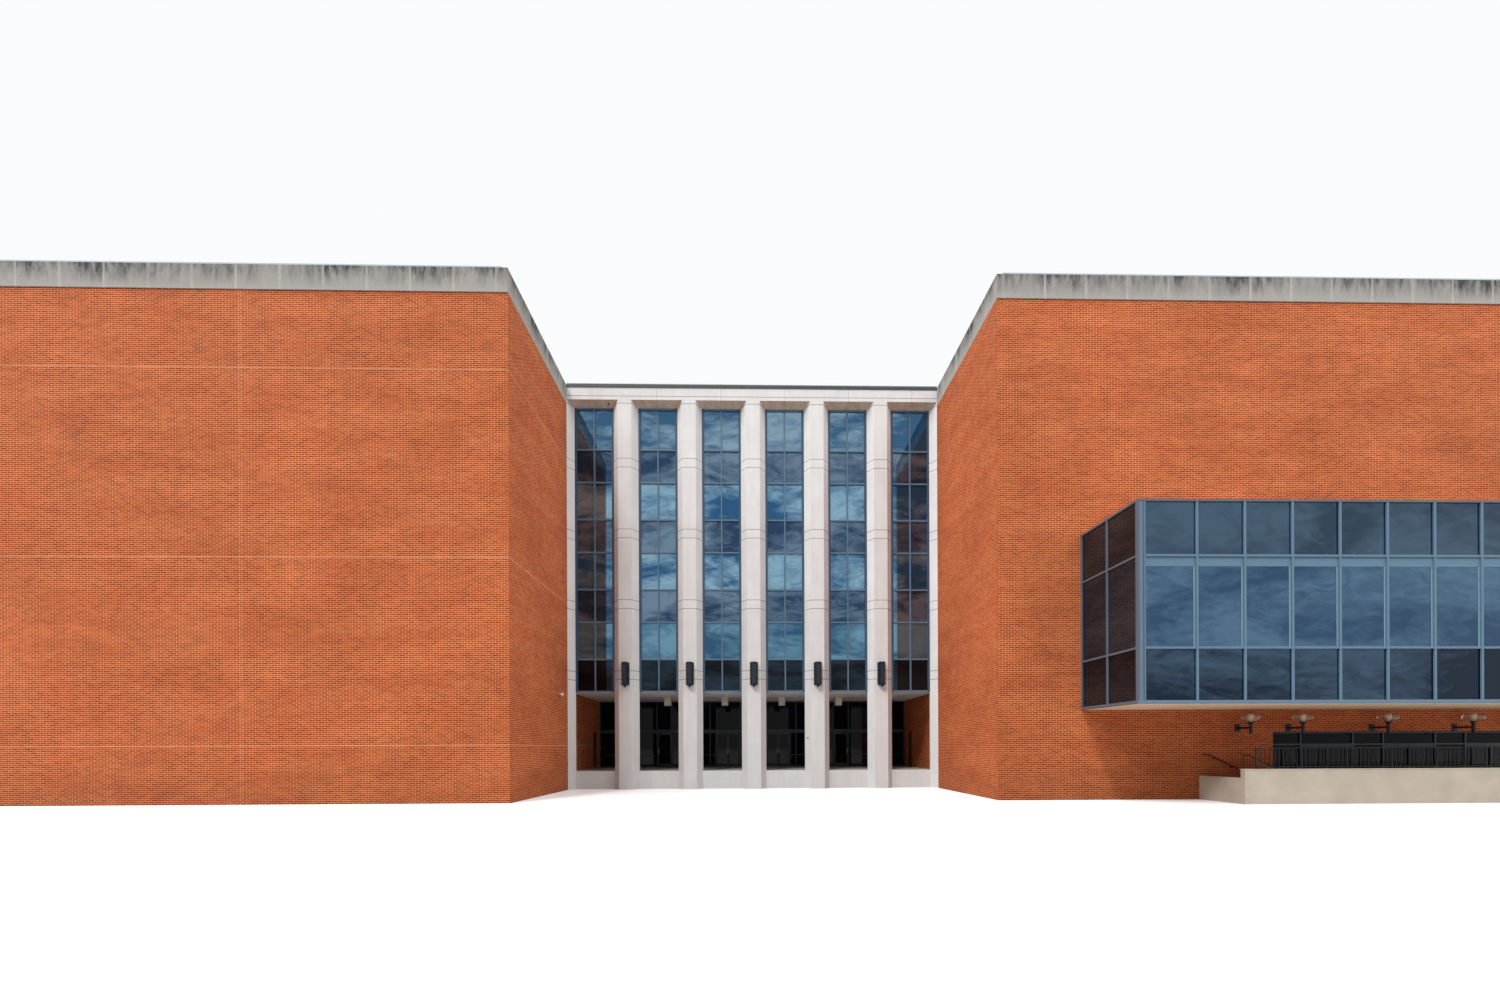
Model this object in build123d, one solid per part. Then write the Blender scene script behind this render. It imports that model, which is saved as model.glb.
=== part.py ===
"""A five storey office building, as a 1:2 scale model.

A white precast centre with splayed piers stands back between two plain brick wings. The ground
storey of the centre is an open loggia with a glazed entrance wall behind it. The right wing
carries a glazed box over a sunken entry with a stair.

All sizes are millimetres of the model, half of the real building's. X runs along the front,
+Y to the rear, +Z up. The origin is the middle of the building's box, at the level of the
sunken entry, which is the lowest ground that the building meets.
"""
from build123d import *
import os

os.makedirs("parts", exist_ok=True)

# Levels
plaza_z = 500                # ground floor of the loggia, above the sunken entry
sunken_floor = 50            # floor of the sunken entry
first_floor = 2650           # first floor above the ground floor
storey = 1945                # each storey above that
upper_storeys = 4
spandrel_half = 455          # dark panes run this far above and below each upper floor
slab = 150                   # floor slabs

# Centre block
bays = 6
bay_pitch = 1765
pier_face = 370              # width of a pier at its front
pier_back = 680              # width of a pier at the glass
pier_splay = 205             # from a pier's front to the glass
frame_depth = 45             # window frames, flush with the backs of the piers
centre_depth = 9000          # from the front piers' faces to the rear piers' faces
head_low = 10100             # underside of the head at the glass, above the ground floor
head_face_low = 10210        # underside of the head at its front
head_top = 10540
head_depth = 300
centre_coping = 110
coping_lip = 15              # copings stand proud of what they cap
roof_below_head = 100        # the roof lies this far below the top of the head
frame_bar = 40               # width of window bars
jamb_bar = 60                # width of the bars against the piers
glass = 12

# Loggia and its entrance wall
entrance_back = 3350         # from the piers' faces to the entrance wall
entrance_depth = 60
soffit = 60
pair_posts = (430, 1250)     # posts beside a pair of doors, from the middle, on both sides
single_posts = (2705, 3210)  # posts beside a single door
entrance_posts = [*pair_posts, 1440, *single_posts, 4150]
short_posts = pair_posts[1:] # posts that stop at the door head
door_head = 1128             # above the ground floor
door_head_bar = 127
sill_rail = 50
middle_rail = 385
middle_rail_height = 30

# Door leaves
door_gap = 6                 # round a leaf
meeting_gap = 8              # between the two leaves of a pair, and under a leaf
leaf_thick = 22
leaf_stile = 45
leaf_bottom_rail = 110
leaf_pane = 6
pull_bar = 16
pull_length = 160
pull_stand = 8               # thickness of its stand-offs
pull_reach = 40
pull_height = 520
pull_inset = 30              # from the leaf's free edge
pivot_radius = 4
pivot_length = 60            # along the leaf, at its foot and its top
pivot_seat = 0.3             # running clearance at the floor and the head

# Doors in the sides of the loggia
side_door_back = 2550        # from the piers' faces to the near jamb
side_door_width = 425
side_door_height = 1150
side_door_set_in = 30

# Wings
wall = 200
wing_forward = 3750          # in front of the front piers' faces
wing_behind = 750            # behind the rear piers' faces
wall_top = 10090             # above the ground floor
wing_coping = 505
wing_coping_width = 175
wing_coping_lip = 20
roof_stand = 50              # the roof's edge shows above the coping
wing_roof = 200

# Glazed box on the right wing
box_margin = bay_pitch       # brick left at each side of the box
box_bays = 11
box_pitch = bay_pitch / 2
box_end_bay = 1095
box_forward = 1750
box_low = 1400               # above the ground floor
box_top = 5100
box_rails = [2410, 4080]     # middles of its cross rails, above the ground floor
box_frame = 30               # depth of its bars in front of the glass
box_corner = 145
box_bar = 40
box_sill = 60
box_slab = 110
box_ceiling = 90

# Sunken entry
entry_left = 11010           # left jamb, from the middle of the building
entry_head = 930             # above the ground floor
entry_transom = 640
entry_set_in = 60
entry_frame = 60
entry_bar = 34
entry_light = 665            # fixed light between two pairs of doors
entry_pair = 1150
entry_bays = [entry_light, entry_pair] * 3              # one more fills up to the right jamb
court_depth = 1100           # from the wing's front to the outside of the court wall
court_wall = 100
court_wall_top = 180         # above the ground floor
stair_lead = 1410            # from the top of the stair to the left jamb
court_lead = 185             # the court wall starts this far before the stair
risers = 6
tread = 170

# Railings
rail_top = 595               # top of the guard rail above the ground floor
rail_bar = 20
rail_foot = 30               # the lower rail stands this far above the wall
baluster = 8
baluster_pitch = 90
guard_lead = 70              # the guard rail starts this far past the top of the stair
guard_spans = 8              # between its posts
hand_rail_radius = 12
hand_rail_post = 18          # width of its posts
hand_rail_pin = 12           # width of its brackets
hand_rail_rise = 450         # middle of the hand rails above the ground floor, at the upper end
court_rail = (-85, 30)       # start and bend of the rail beside the court wall, from the stair's top
wall_rail = (-170, -30)      # start and bend of the rail on the wing's wall
hand_rail_past = 60          # reach past the foot of the stair
wall_rail_brackets = (0.15, 0.55, 0.9)                  # shares of its sloping run
hand_rail_off = 60           # from the wall beside it

# Lamps and the dome camera
sconce_width = 225
sconce_face = 125            # width of its front facet
sconce_reach = 175
sconce_low = 2360            # above the ground floor
sconce_height = 625
sconce_chamfer = 55          # cut from its lower corners
sconce_tip = (70, 58)        # width and height of the tip under it
ceiling_lamp = 200
ceiling_lamp_height = 250
ceiling_lamp_back = 1950     # from the piers' faces
ceiling_lamp_bays = (-1.5, -0.5, 0.5, 1.5)              # bay pitches from the middle
first_globe = 640            # from the stair's top; the others hang over the entry's fixed lights
globe_radius = 165
globe_height = 170
globe_level = 1205           # middle of a globe above the ground floor
globe_sides = 16             # the solid globe is faceted
globe_band = 60              # height of its upright middle band
globe_slope = 58             # degrees from upright, above and below the band
arm_reach = 320
arm_level = 1010             # middle of the arm above the ground floor
arm_bar = 40
arm_plate = (110, 165, 15)   # width, height and thickness against the wall
globe_post = 55
globe_post_low = 875         # above the ground floor
globe_cup = (110, 20)        # width and height of the square seat under the globe
camera_forward = 685         # in front of the piers' faces
camera_level = 2060
camera_radius = 45
camera_sides = 12
camera_dome = (32, 36)       # radius and height
camera_neck = 18             # height of the round housing over the dome
camera_arm = (70, 30, 25)    # reach, width and height

# Worked out from the sizes above
court_half = bays * bay_pitch / 2 - pier_face / 2
box_length = 2 * box_end_bay + (box_bays - 2) * box_pitch
wing_width = box_length + 2 * box_margin
half_width = court_half + wing_width
front_reach = wing_forward + box_forward
rear_reach = centre_depth + wing_behind + wing_coping_lip
pier_y = (front_reach - rear_reach) / 2
rear_y = pier_y + centre_depth
wing_front = pier_y - wing_forward
wing_rear = rear_y + wing_behind
glass_y = pier_y + pier_splay
inner_y = glass_y + frame_depth
rear_inner_y = rear_y - pier_splay - frame_depth
middle_plane = Plane.XZ.offset(-(pier_y + rear_y) / 2)
floor_levels = [plaza_z + first_floor + number * storey for number in range(upper_storeys)]
soffit_z = floor_levels[0] - spandrel_half
head_z = plaza_z + head_low
head_face_z = plaza_z + head_face_low
window_width = bay_pitch - pier_back
bay_middles = [(number - (bays - 1) / 2) * bay_pitch for number in range(bays)]
pier_middles = [(number - bays / 2) * bay_pitch for number in range(1, bays)]
entrance_y = pier_y + entrance_back
wall_top_z = plaza_z + wall_top
inner_face = court_half + wall
outer_face = half_width - wall
box_left = court_half + box_margin
box_right = box_left + box_length
box_front = wing_front - box_forward
opening_left = box_left + box_frame
opening_right = box_right - box_frame
box_z = (plaza_z + box_low, plaza_z + box_top)
court_front = wing_front - court_depth
court_inside = court_front + court_wall
court_right = opening_right
stair_start = entry_left - stair_lead
stair_end = stair_start + (risers - 1) * tread
court_left = stair_start - court_lead
guard_left = stair_start + guard_lead


def block(x, y, z):
    """A plain box between pairs of limits."""
    limits = (x, y, z)
    size = [high - low for low, high in limits]
    middle = [(low + high) / 2 for low, high in limits]
    return Pos(*middle) * Box(*size)


def prism(points, z):
    """An upright prism on a plan outline."""
    low, high = z
    return extrude(Pos(0, 0, low) * make_face(Polyline(*points, close=True)), high - low)


def beam(points, x):
    """A prism along X on an outline of Y and Z."""
    low, high = x
    outline = make_face(Polyline(*[(low, y, z) for y, z in points], close=True))
    return extrude(outline, high - low, dir=(1, 0, 0))


def mirrored(shape):
    """The same piece on the other side of the building."""
    return mirror(shape, Plane.YZ)


def at_rear(shape):
    """The same piece on the rear front of the centre block."""
    return mirror(shape, middle_plane)


def save(name, *solids):
    """Write one node. Its solids do not touch each other."""
    shape = solids[0] if len(solids) == 1 else Compound(list(solids))
    export_step(shape, f"parts/{name}.step")


def pier(middle):
    """A pier, narrow at its face and splayed back to the glass."""
    face, back = pier_face / 2, pier_back / 2
    outline = [
        (middle - face, pier_y), (middle + face, pier_y),
        (middle + back, glass_y), (middle + back, inner_y),
        (middle - back, inner_y), (middle - back, glass_y),
    ]
    return prism(outline, (0, head_z))


def end_pier():
    """The splay against the right wing, where a pier is half hidden by the wing."""
    reach = (pier_back - pier_face) / 2
    outline = [
        (court_half, pier_y), (court_half - reach, glass_y),
        (court_half - reach, inner_y), (court_half, inner_y),
    ]
    return prism(outline, (0, head_z))


def front_piers():
    return [pier(middle) for middle in pier_middles] + [end_pier(), mirrored(end_pier())]


def head_splay(middle):
    """What is cut from the head over one bay: its underside rises to the front."""
    wide, narrow = (bay_pitch - pier_face) / 2, window_width / 2
    plan = [
        (middle - wide, pier_y), (middle + wide, pier_y),
        (middle + narrow, glass_y), (middle - narrow, glass_y),
    ]
    slope = beam(
        [(pier_y, head_z), (glass_y, head_z), (pier_y, head_face_z)], (middle - wide, middle + wide)
    )
    return prism(plan, (head_z, head_face_z)) & slope


def head_beam():
    """The head over the bays. Its underside splays up to the front as the piers do."""
    head = block((-court_half, court_half), (pier_y, pier_y + head_depth), (head_z, plaza_z + head_top))
    return head - [head_splay(middle) for middle in bay_middles]


def centre_coping_front():
    top = plaza_z + head_top
    return block(
        (-court_half, court_half),
        (pier_y - coping_lip, pier_y + head_depth + coping_lip),
        (top, top + centre_coping),
    )


def window_rows(low):
    """Heights of the cross bars of a curtain wall that starts at a height."""
    bars = [level + side * spandrel_half for level in floor_levels for side in (-1, 1)]
    return sorted({low, *bars, head_z})


def curtain_frame(middle, rows):
    """The bars of one bay: jambs, a middle mullion and cross bars."""
    low, high = rows[0], rows[-1]
    frame = block((middle - window_width / 2, middle + window_width / 2), (glass_y, inner_y), (low, high))
    pane = (window_width - 2 * jamb_bar - frame_bar) / 2
    holes = []
    for side in (-1, 1):
        x = middle + side * (pane + frame_bar) / 2
        for number, (below, above) in enumerate(zip(rows, rows[1:])):
            bottom = below + (frame_bar if number == 0 else frame_bar / 2)
            top = above - (frame_bar if number == len(rows) - 2 else frame_bar / 2)
            holes.append(block((x - pane / 2, x + pane / 2), (glass_y, inner_y), (bottom, top)))
    return frame - holes


def curtain_sheet(middle, rows):
    """One sheet of glass behind the bars of a bay."""
    return block(
        (middle - window_width / 2, middle + window_width / 2),
        (inner_y, inner_y + glass),
        (rows[0], rows[-1]),
    )


def plinth(middle):
    """The low wall between two piers, up to the ground floor."""
    return block(
        (middle - window_width / 2, middle + window_width / 2), (glass_y, inner_y), (0, plaza_z)
    )


def centre_floor(level):
    return block(
        (-court_half, court_half), (inner_y + glass, rear_inner_y - glass), (level - slab, level)
    )


def entrance_post_list():
    """Middles of all posts of the entrance wall, from left to right, the end posts included."""
    end = court_half - frame_bar / 2
    return [-end] + [-x for x in reversed(entrance_posts)] + entrance_posts + [end]


def entrance_frame_posts():
    posts = []
    for x in entrance_post_list():
        high = plaza_z + door_head if abs(x) in short_posts else soffit_z
        posts.append(block(
            (x - frame_bar / 2, x + frame_bar / 2),
            (entrance_y, entrance_y + entrance_depth),
            (plaza_z, high),
        ))
    return posts


def is_doorway(left, right):
    """Door bays of the entrance wall: a pair beside the middle, and a single door further out."""
    near, far = sorted((abs(left), abs(right)))
    return left * right > 0 and (near, far) in (pair_posts, single_posts)


def entrance_rows(left, right):
    """The low rails of a fixed light between two posts. A doorway has none."""
    if is_doorway(left, right):
        return []
    low, middle = plaza_z, plaza_z + middle_rail
    return [(low, low + sill_rail), (middle, middle + middle_rail_height)]


def gaps_between(posts):
    half = frame_bar / 2
    return [(a + half, b - half, a, b) for a, b in zip(posts, posts[1:])]


def entrance_rails():
    """Door head, top rail, and the low rails of the fixed lights, between the posts."""
    depth = (entrance_y, entrance_y + entrance_depth)
    posts = entrance_post_list()
    tall = [x for x in posts if abs(x) not in short_posts]
    head = (plaza_z + door_head, plaza_z + door_head + door_head_bar)
    rails = []
    for left, right, *_ in gaps_between(tall):
        rails.append(block((left, right), depth, head))
        rails.append(block((left, right), depth, (soffit_z - frame_bar, soffit_z)))
    for left, right, a, b in gaps_between(posts):
        rails += [block((left, right), depth, z) for z in entrance_rows(a, b)]
    return rails


def entrance_glass():
    """Fixed panes of the entrance wall."""
    middle = entrance_y + entrance_depth / 2
    depth = (middle - glass / 2, middle + glass / 2)
    posts = entrance_post_list()
    tall = [x for x in posts if abs(x) not in short_posts]
    high = (plaza_z + door_head + door_head_bar, soffit_z - frame_bar)
    panes = [block((left, right), depth, high) for left, right, *_ in gaps_between(tall)]
    for left, right, a, b in gaps_between(posts):
        rows = entrance_rows(a, b)
        if rows:
            (_, sill), (rail_low, rail_high) = rows
            panes.append(block((left, right), depth, (sill, rail_low)))
            panes.append(block((left, right), depth, (rail_high, plaza_z + door_head)))
    return panes


def leaf(width, height):
    """A glazed leaf with its hinge edge at x = 0, outer face at y = 0 and foot at z = 0."""
    body = block((0, width), (0, leaf_thick), (0, height))
    pocket = (leaf_thick - leaf_pane) / 2
    pane_x = (leaf_stile, width - leaf_stile)
    pane_z = (leaf_bottom_rail, height - leaf_stile)
    body -= block(pane_x, (0, pocket), pane_z)
    body -= block(pane_x, (leaf_thick - pocket, leaf_thick), pane_z)
    return body + pull(width) + pivots(height)


def pivots(height):
    """Pins on the hinge line, standing on the floor and reaching up to the head."""
    foot = -(meeting_gap - pivot_seat)
    top = height + door_gap - pivot_seat
    spans = [(foot, pivot_length), (height - pivot_length, top)]
    return [
        Pos(0, 0, (low + high) / 2) * Cylinder(pivot_radius, high - low) for low, high in spans
    ]


def pull(width):
    """A vertical pull bar on two stand-offs."""
    x = width - pull_inset
    across = (x - pull_bar / 2, x + pull_bar / 2)
    bar = block(
        across, (-pull_reach - pull_stand, -pull_reach),
        (pull_height - pull_length / 2, pull_height + pull_length / 2),
    )
    levels = [pull_height + end * pull_length / 3 for end in (-1, 1)]
    stand_offs = [
        block(across, (-pull_reach, 0), (z - pull_stand / 2, z + pull_stand / 2)) for z in levels
    ]
    return bar + stand_offs


def plain_leaf(width, height):
    """A flush metal leaf with a pull bar."""
    return block((0, width), (0, leaf_thick), (0, height)) + pull(width) + pivots(height)


def entrance_doors():
    """Leaves of the right half, from the middle outwards: a pair and a single door."""
    foot = plaza_z + meeting_gap
    height = door_head - door_gap - meeting_gap
    half = frame_bar / 2
    pair_left, pair_right = pair_posts[0] + half, pair_posts[1] - half
    pair_leaf = (pair_right - pair_left - 2 * door_gap - meeting_gap) / 2
    single_left, single_right = single_posts[0] + half, single_posts[1] - half
    single_leaf = single_right - single_left - 2 * door_gap
    return {
        "inner": Pos(pair_left + door_gap, entrance_y, foot) * leaf(pair_leaf, height),
        "outer": Pos(pair_right - door_gap, entrance_y, foot) * mirrored(leaf(pair_leaf, height)),
        "single": Pos(single_left + door_gap, entrance_y, foot) * leaf(single_leaf, height),
    }


def side_door():
    """The metal door in the left side of the loggia, hinged at its front edge."""
    body = plain_leaf(side_door_width - 2 * door_gap, side_door_height - door_gap - meeting_gap)
    hinge = Pos(
        -court_half - side_door_set_in, pier_y + side_door_back + door_gap, plaza_z + meeting_gap
    )
    return hinge * Rot(0, 0, 90) * body


def inner_wall(y, z=None):
    """A stretch of the right wing's wall beside the centre block."""
    return block((court_half, inner_face), y, z or (0, wall_top_z))


def wing_ring(width, lip, z):
    """A ring on the right wing's walls, proud by a lip of all but the court's side."""
    outside = block((court_half, half_width + lip), (wing_front - lip, wing_rear + lip), z)
    inside = block(
        (court_half + width, half_width - width), (wing_front + width, wing_rear - width), z
    )
    return outside - inside


def wing_roof_slab():
    top = wall_top_z + wing_coping + roof_stand
    edge = wing_coping_width
    return block(
        (court_half + edge, half_width - edge), (wing_front + edge, wing_rear - edge),
        (top - wing_roof, top),
    )


def front_wall(x, z):
    return block(x, (wing_front, wing_front + wall), z)


def inside_wing(x, z):
    """A slab over the full depth between a wing's front and rear walls."""
    return block(x, (wing_front + wall, wing_rear - wall), z)


def box_mullions():
    """Middles of the upright bars on the front of the glazed box."""
    first = box_left + box_end_bay
    return [first + number * box_pitch for number in range(box_bays - 1)]


def box_openings(low_stop, bars, high_stop):
    """Clear widths between upright bars along one face of the box."""
    half = box_bar / 2
    edges = [low_stop] + [edge for bar in bars for edge in (bar - half, bar + half)] + [high_stop]
    return list(zip(edges[::2], edges[1::2]))


def box_heights():
    """Clear heights between the cross rails of the glazed box."""
    half = box_bar / 2
    low, high = box_z
    rails = [plaza_z + rail for rail in box_rails]
    edges = [low + box_sill] + [edge for rail in rails for edge in (rail - half, rail + half)]
    edges.append(high - box_bar)
    return list(zip(edges[::2], edges[1::2]))


def box_frames():
    """The bars of the box's front and both ends."""
    front_depth = (box_front, box_front + box_frame)
    widths = box_openings(box_left + box_corner, box_mullions(), box_right - box_corner)
    holes = [block(x, front_depth, z) for x in widths for z in box_heights()]
    frame = block((box_left, box_right), front_depth, box_z) - holes
    end_y = (box_front + box_frame, wing_front)
    for left in (box_left, box_right - box_frame):
        end_x = (left, left + box_frame)
        middle = sum(end_y) / 2
        widths = box_openings(end_y[0] + box_bar, [middle], end_y[1] - box_bar)
        holes = [block(end_x, y, z) for y in widths for z in box_heights()]
        frame += block(end_x, end_y, box_z) - holes
    return frame


def box_sheets():
    """Glass behind the bars of the box: its front and two ends."""
    inside_y = box_front + box_frame
    front = block((opening_left, opening_right), (inside_y, inside_y + glass), box_z)
    ends = [
        block((x, x + glass), (inside_y + glass, wing_front), box_z)
        for x in (opening_left, opening_right - glass)
    ]
    return [front] + ends


def box_plate(z):
    """A floor or roof plate of the box, behind its glass and built into the wing's front wall."""
    inside = (opening_left + glass, opening_right - glass)
    plate = block(inside, (box_front + box_frame + glass, wing_front + wall), z)
    return plate + block((opening_left, opening_right), (wing_front, wing_front + wall), z)


def entry_edges():
    """Edges of the bays of the sunken entry, from its left jamb to its right one."""
    edges = [entry_left]
    for width in entry_bays:
        if edges[-1] + width > opening_right - entry_bar:
            break
        edges.append(edges[-1] + width)
    return edges + [opening_right]


def has_doors(number):
    """Every second bay of the sunken entry holds a pair of doors, but never the last one."""
    return number % 2 == 1 and number < len(entry_edges()) - 2


def entry_depth():
    return (wing_front + entry_set_in, wing_front + entry_set_in + entry_frame)


def entry_posts():
    """Upright bars of the sunken entry. A pair of doors has meeting stiles at its middle."""
    edges = entry_edges()
    half = entry_bar / 2
    middles = [edges[0] + half] + edges[1:-1] + [edges[-1] - half]
    z = (sunken_floor, plaza_z + entry_head)
    posts = [block((x - half, x + half), entry_depth(), z) for x in middles]
    for number, (left, right) in enumerate(zip(edges, edges[1:])):
        if has_doors(number):
            x = (left + right) / 2
            z = (sunken_floor, plaza_z + entry_transom)
            posts.append(block((x - half, x + half), entry_depth(), z))
    return posts


def entry_spans():
    """Clear widths between the full height posts of the sunken entry."""
    edges = entry_edges()
    bar = entry_bar
    inner = [edges[0] + bar / 2] + edges[1:-1] + [edges[-1] - bar / 2]
    return [(a + bar / 2, b - bar / 2) for a, b in zip(inner, inner[1:])]


def entry_rails():
    """Head and transom rails between the posts, and sill rails under the fixed lights."""
    rails = []
    head = plaza_z + entry_head
    transom = plaza_z + entry_transom
    for number, x in enumerate(entry_spans()):
        rails.append(block(x, entry_depth(), (head - entry_bar, head)))
        rails.append(block(x, entry_depth(), (transom, transom + entry_bar)))
        if not has_doors(number):
            rails.append(block(x, entry_depth(), (sunken_floor, sunken_floor + sill_rail)))
    return rails


def entry_glass():
    """Panes of the sunken entry, those of its closed doors included."""
    front, back = entry_depth()
    middle = (front + back) / 2
    depth = (middle - glass / 2, middle + glass / 2)
    transom = plaza_z + entry_transom
    panes = []
    for number, (left, right) in enumerate(entry_spans()):
        panes.append(block((left, right), depth, (transom + entry_bar, plaza_z + entry_head - entry_bar)))
        if has_doors(number):
            half = entry_bar / 2
            centre = (entry_edges()[number] + entry_edges()[number + 1]) / 2
            panes.append(block((left, centre - half), depth, (sunken_floor, transom)))
            panes.append(block((centre + half, right), depth, (sunken_floor, transom)))
        else:
            panes.append(block((left, right), depth, (sunken_floor + sill_rail, transom)))
    return panes


def stair():
    """A solid flight down to the right, from the plaza to the sunken entry."""
    rise = plaza_z / risers
    points = [(court_left, 0), (court_left, plaza_z), (stair_start, plaza_z)]
    for number in range(1, risers):
        x = stair_start + (number - 1) * tread
        z = plaza_z - number * rise
        points += [(x, z), (x + tread, z)]
    points.append((stair_end, 0))
    outline = make_face(Polyline(*[(x, court_inside, z) for x, z in points], close=True))
    return extrude(outline, wing_front - court_inside, dir=(0, 1, 0))


def guard_rail():
    """Rails, end posts and upright balusters on the court wall."""
    y = court_front + court_wall / 2
    foot = plaza_z + court_wall_top
    top = plaza_z + rail_top
    right = court_right - rail_bar
    across = (y - rail_bar / 2, y + rail_bar / 2)
    thin = (y - baluster / 2, y + baluster / 2)
    rail = block((guard_left, right), across, (top - rail_bar, top))
    rail += block((guard_left, right), across, (foot + rail_foot, foot + rail_foot + rail_bar))
    spaces = round((right - guard_left) / baluster_pitch)
    pitch = (right - guard_left - rail_bar) / spaces
    balusters = [
        block(
            (guard_left + number * pitch, guard_left + number * pitch + baluster), thin,
            (foot + rail_foot, top),
        )
        for number in range(1, spaces)
    ]
    posts = [
        block((guard_left + number * pitch, guard_left + number * pitch + rail_bar), across, (foot, top))
        for number in [round(share * spaces / guard_spans) for share in range(guard_spans + 1)]
    ]
    return rail + balusters + posts


def rail_slope(x, bend):
    """Height of a hand rail's middle: level up to the bend, then down as the stair goes."""
    return plaza_z + hand_rail_rise - max(0, x - bend) * plaza_z / risers / tread


def hand_rail(y, start, bend):
    """A round rail, level over the landing and then down beside the stair."""
    end = stair_end + hand_rail_past
    path = Polyline(*[(x, y, rail_slope(x, bend)) for x in (start, bend, end)])
    circle = Plane(path @ 0, z_dir=path % 0) * Circle(hand_rail_radius)
    return sweep(circle, path, transition=Transition.RIGHT)


def rail_post(x, y, foot, bend):
    half = hand_rail_post / 2
    return block((x - half, x + half), (y - half, y + half), (foot, rail_slope(x, bend)))


def rail_bracket(x, y, wall_y, bend):
    """A pin from the rail into the wall beside it."""
    half = hand_rail_pin / 2
    level = rail_slope(x, bend)
    return block((x - half, x + half), sorted((y, wall_y)), (level - half, level + half))


def stair_level(x):
    """Height of the tread under a place on the stair."""
    return plaza_z - (int((x - stair_start) // tread) + 1) * plaza_z / risers


def court_hand_rail():
    """The rail beside the court wall, on three posts."""
    y = court_inside + hand_rail_off
    start, bend = [stair_start + place for place in court_rail]
    end = stair_end + hand_rail_past
    middle = (bend + end) / 2
    return hand_rail(y, start, bend) + [
        rail_post(start + hand_rail_radius, y, plaza_z, bend),
        rail_post(middle, y, stair_level(middle), bend),
        rail_post(end - hand_rail_radius, y, 0, bend),
    ]


def wall_hand_rail():
    """The rail on the wing's front wall, on brackets."""
    y = wing_front - hand_rail_off
    start, bend = [stair_start + place for place in wall_rail]
    run = stair_end + hand_rail_past - bend
    places = [bend + share * run for share in wall_rail_brackets]
    return hand_rail(y, start, bend) + [rail_bracket(x, y, wing_front, bend) for x in places]


def sconce(middle):
    """A faceted lantern on a pier's face, with cut lower corners and a small tip under it."""
    half, face = sconce_width / 2, sconce_face / 2
    low = plaza_z + sconce_low
    high = low + sconce_height
    front = pier_y - sconce_reach
    plan = [(middle - half, pier_y), (middle - face, front), (middle + face, front), (middle + half, pier_y)]
    outline = [
        (middle - half, high), (middle - half, low + sconce_chamfer), (middle - half + sconce_chamfer, low),
        (middle + half - sconce_chamfer, low), (middle + half, low + sconce_chamfer), (middle + half, high),
    ]
    elevation = make_face(Polyline(*[(x, front, z) for x, z in outline], close=True))
    body = prism(plan, (low, high)) & extrude(elevation, sconce_reach, dir=(0, 1, 0))
    width, height = sconce_tip
    tip_y = pier_y - sconce_reach / 2
    tip = block(
        (middle - width / 2, middle + width / 2), (tip_y - width / 2, tip_y + width / 2),
        (low - height, low),
    )
    return body + tip


def ceiling_lamp_box(x):
    half = ceiling_lamp / 2
    y = pier_y + ceiling_lamp_back
    return block((x - half, x + half), (y - half, y + half), (soffit_z - ceiling_lamp_height, soffit_z))


def globe_places():
    """Middles of the globes: one over the stair, then one over each fixed light of the entry."""
    spans = list(zip(entry_edges(), entry_edges()[1:]))
    return [stair_start + first_globe] + [sum(span) / 2 for span in spans[::2]]


def globe_arm(x):
    """A wall plate, an arm and a short post with a seat for the globe."""
    level = plaza_z + arm_level
    half = arm_bar / 2
    post_y = wing_front - arm_reach
    width, height, thickness = arm_plate
    arm = block((x - half, x + half), (post_y, wing_front), (level - half, level + half))
    plate = block(
        (x - width / 2, x + width / 2), (wing_front - thickness, wing_front),
        (level - height / 2, level + height / 2),
    )
    seat = plaza_z + globe_level - globe_height / 2
    half = globe_post / 2
    post = block((x - half, x + half), (post_y - half, post_y + half), (plaza_z + globe_post_low, seat))
    cup_width, cup_height = globe_cup
    cup = Pos(x, post_y, seat - cup_height / 2) * Box(cup_width, cup_width, cup_height)
    return arm + [plate, post, cup]


def globe(x):
    """A flat oval glass globe, which stands on its post."""
    outline = RegularPolygon(globe_radius, globe_sides)
    cap = (globe_height - globe_band) / 2
    band = Pos(0, 0, -globe_band / 2) * extrude(outline, globe_band)
    upper = Pos(0, 0, globe_band / 2) * extrude(outline, cap, taper=globe_slope)
    body = band + [upper, mirror(upper, Plane.XY)]
    return Pos(x, wing_front - arm_reach, plaza_z + globe_level) * body


def dome_camera():
    """A small dome under a round housing on a short arm, on the left side of the court."""
    reach, width, height = camera_arm
    x = -court_half + reach
    y = pier_y - camera_forward
    z = plaza_z + camera_level
    arm = block((-court_half, x), (y - width / 2, y + width / 2), (z, z + height))
    low = z - camera_neck
    housing = Pos(x, y, low) * extrude(RegularPolygon(camera_radius, camera_sides), z + height - low)
    dome_radius, drop = camera_dome
    dome = Pos(x, y, low - drop) * extrude(RegularPolygon(dome_radius, camera_sides), drop)
    return arm + housing + dome


# Centre block
save("front_piers", *front_piers())
save("rear_piers", *[at_rear(shape) for shape in front_piers()])
save("head_beams", head_beam(), at_rear(head_beam()))
save("centre_copings", centre_coping_front(), at_rear(centre_coping_front()))

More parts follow.
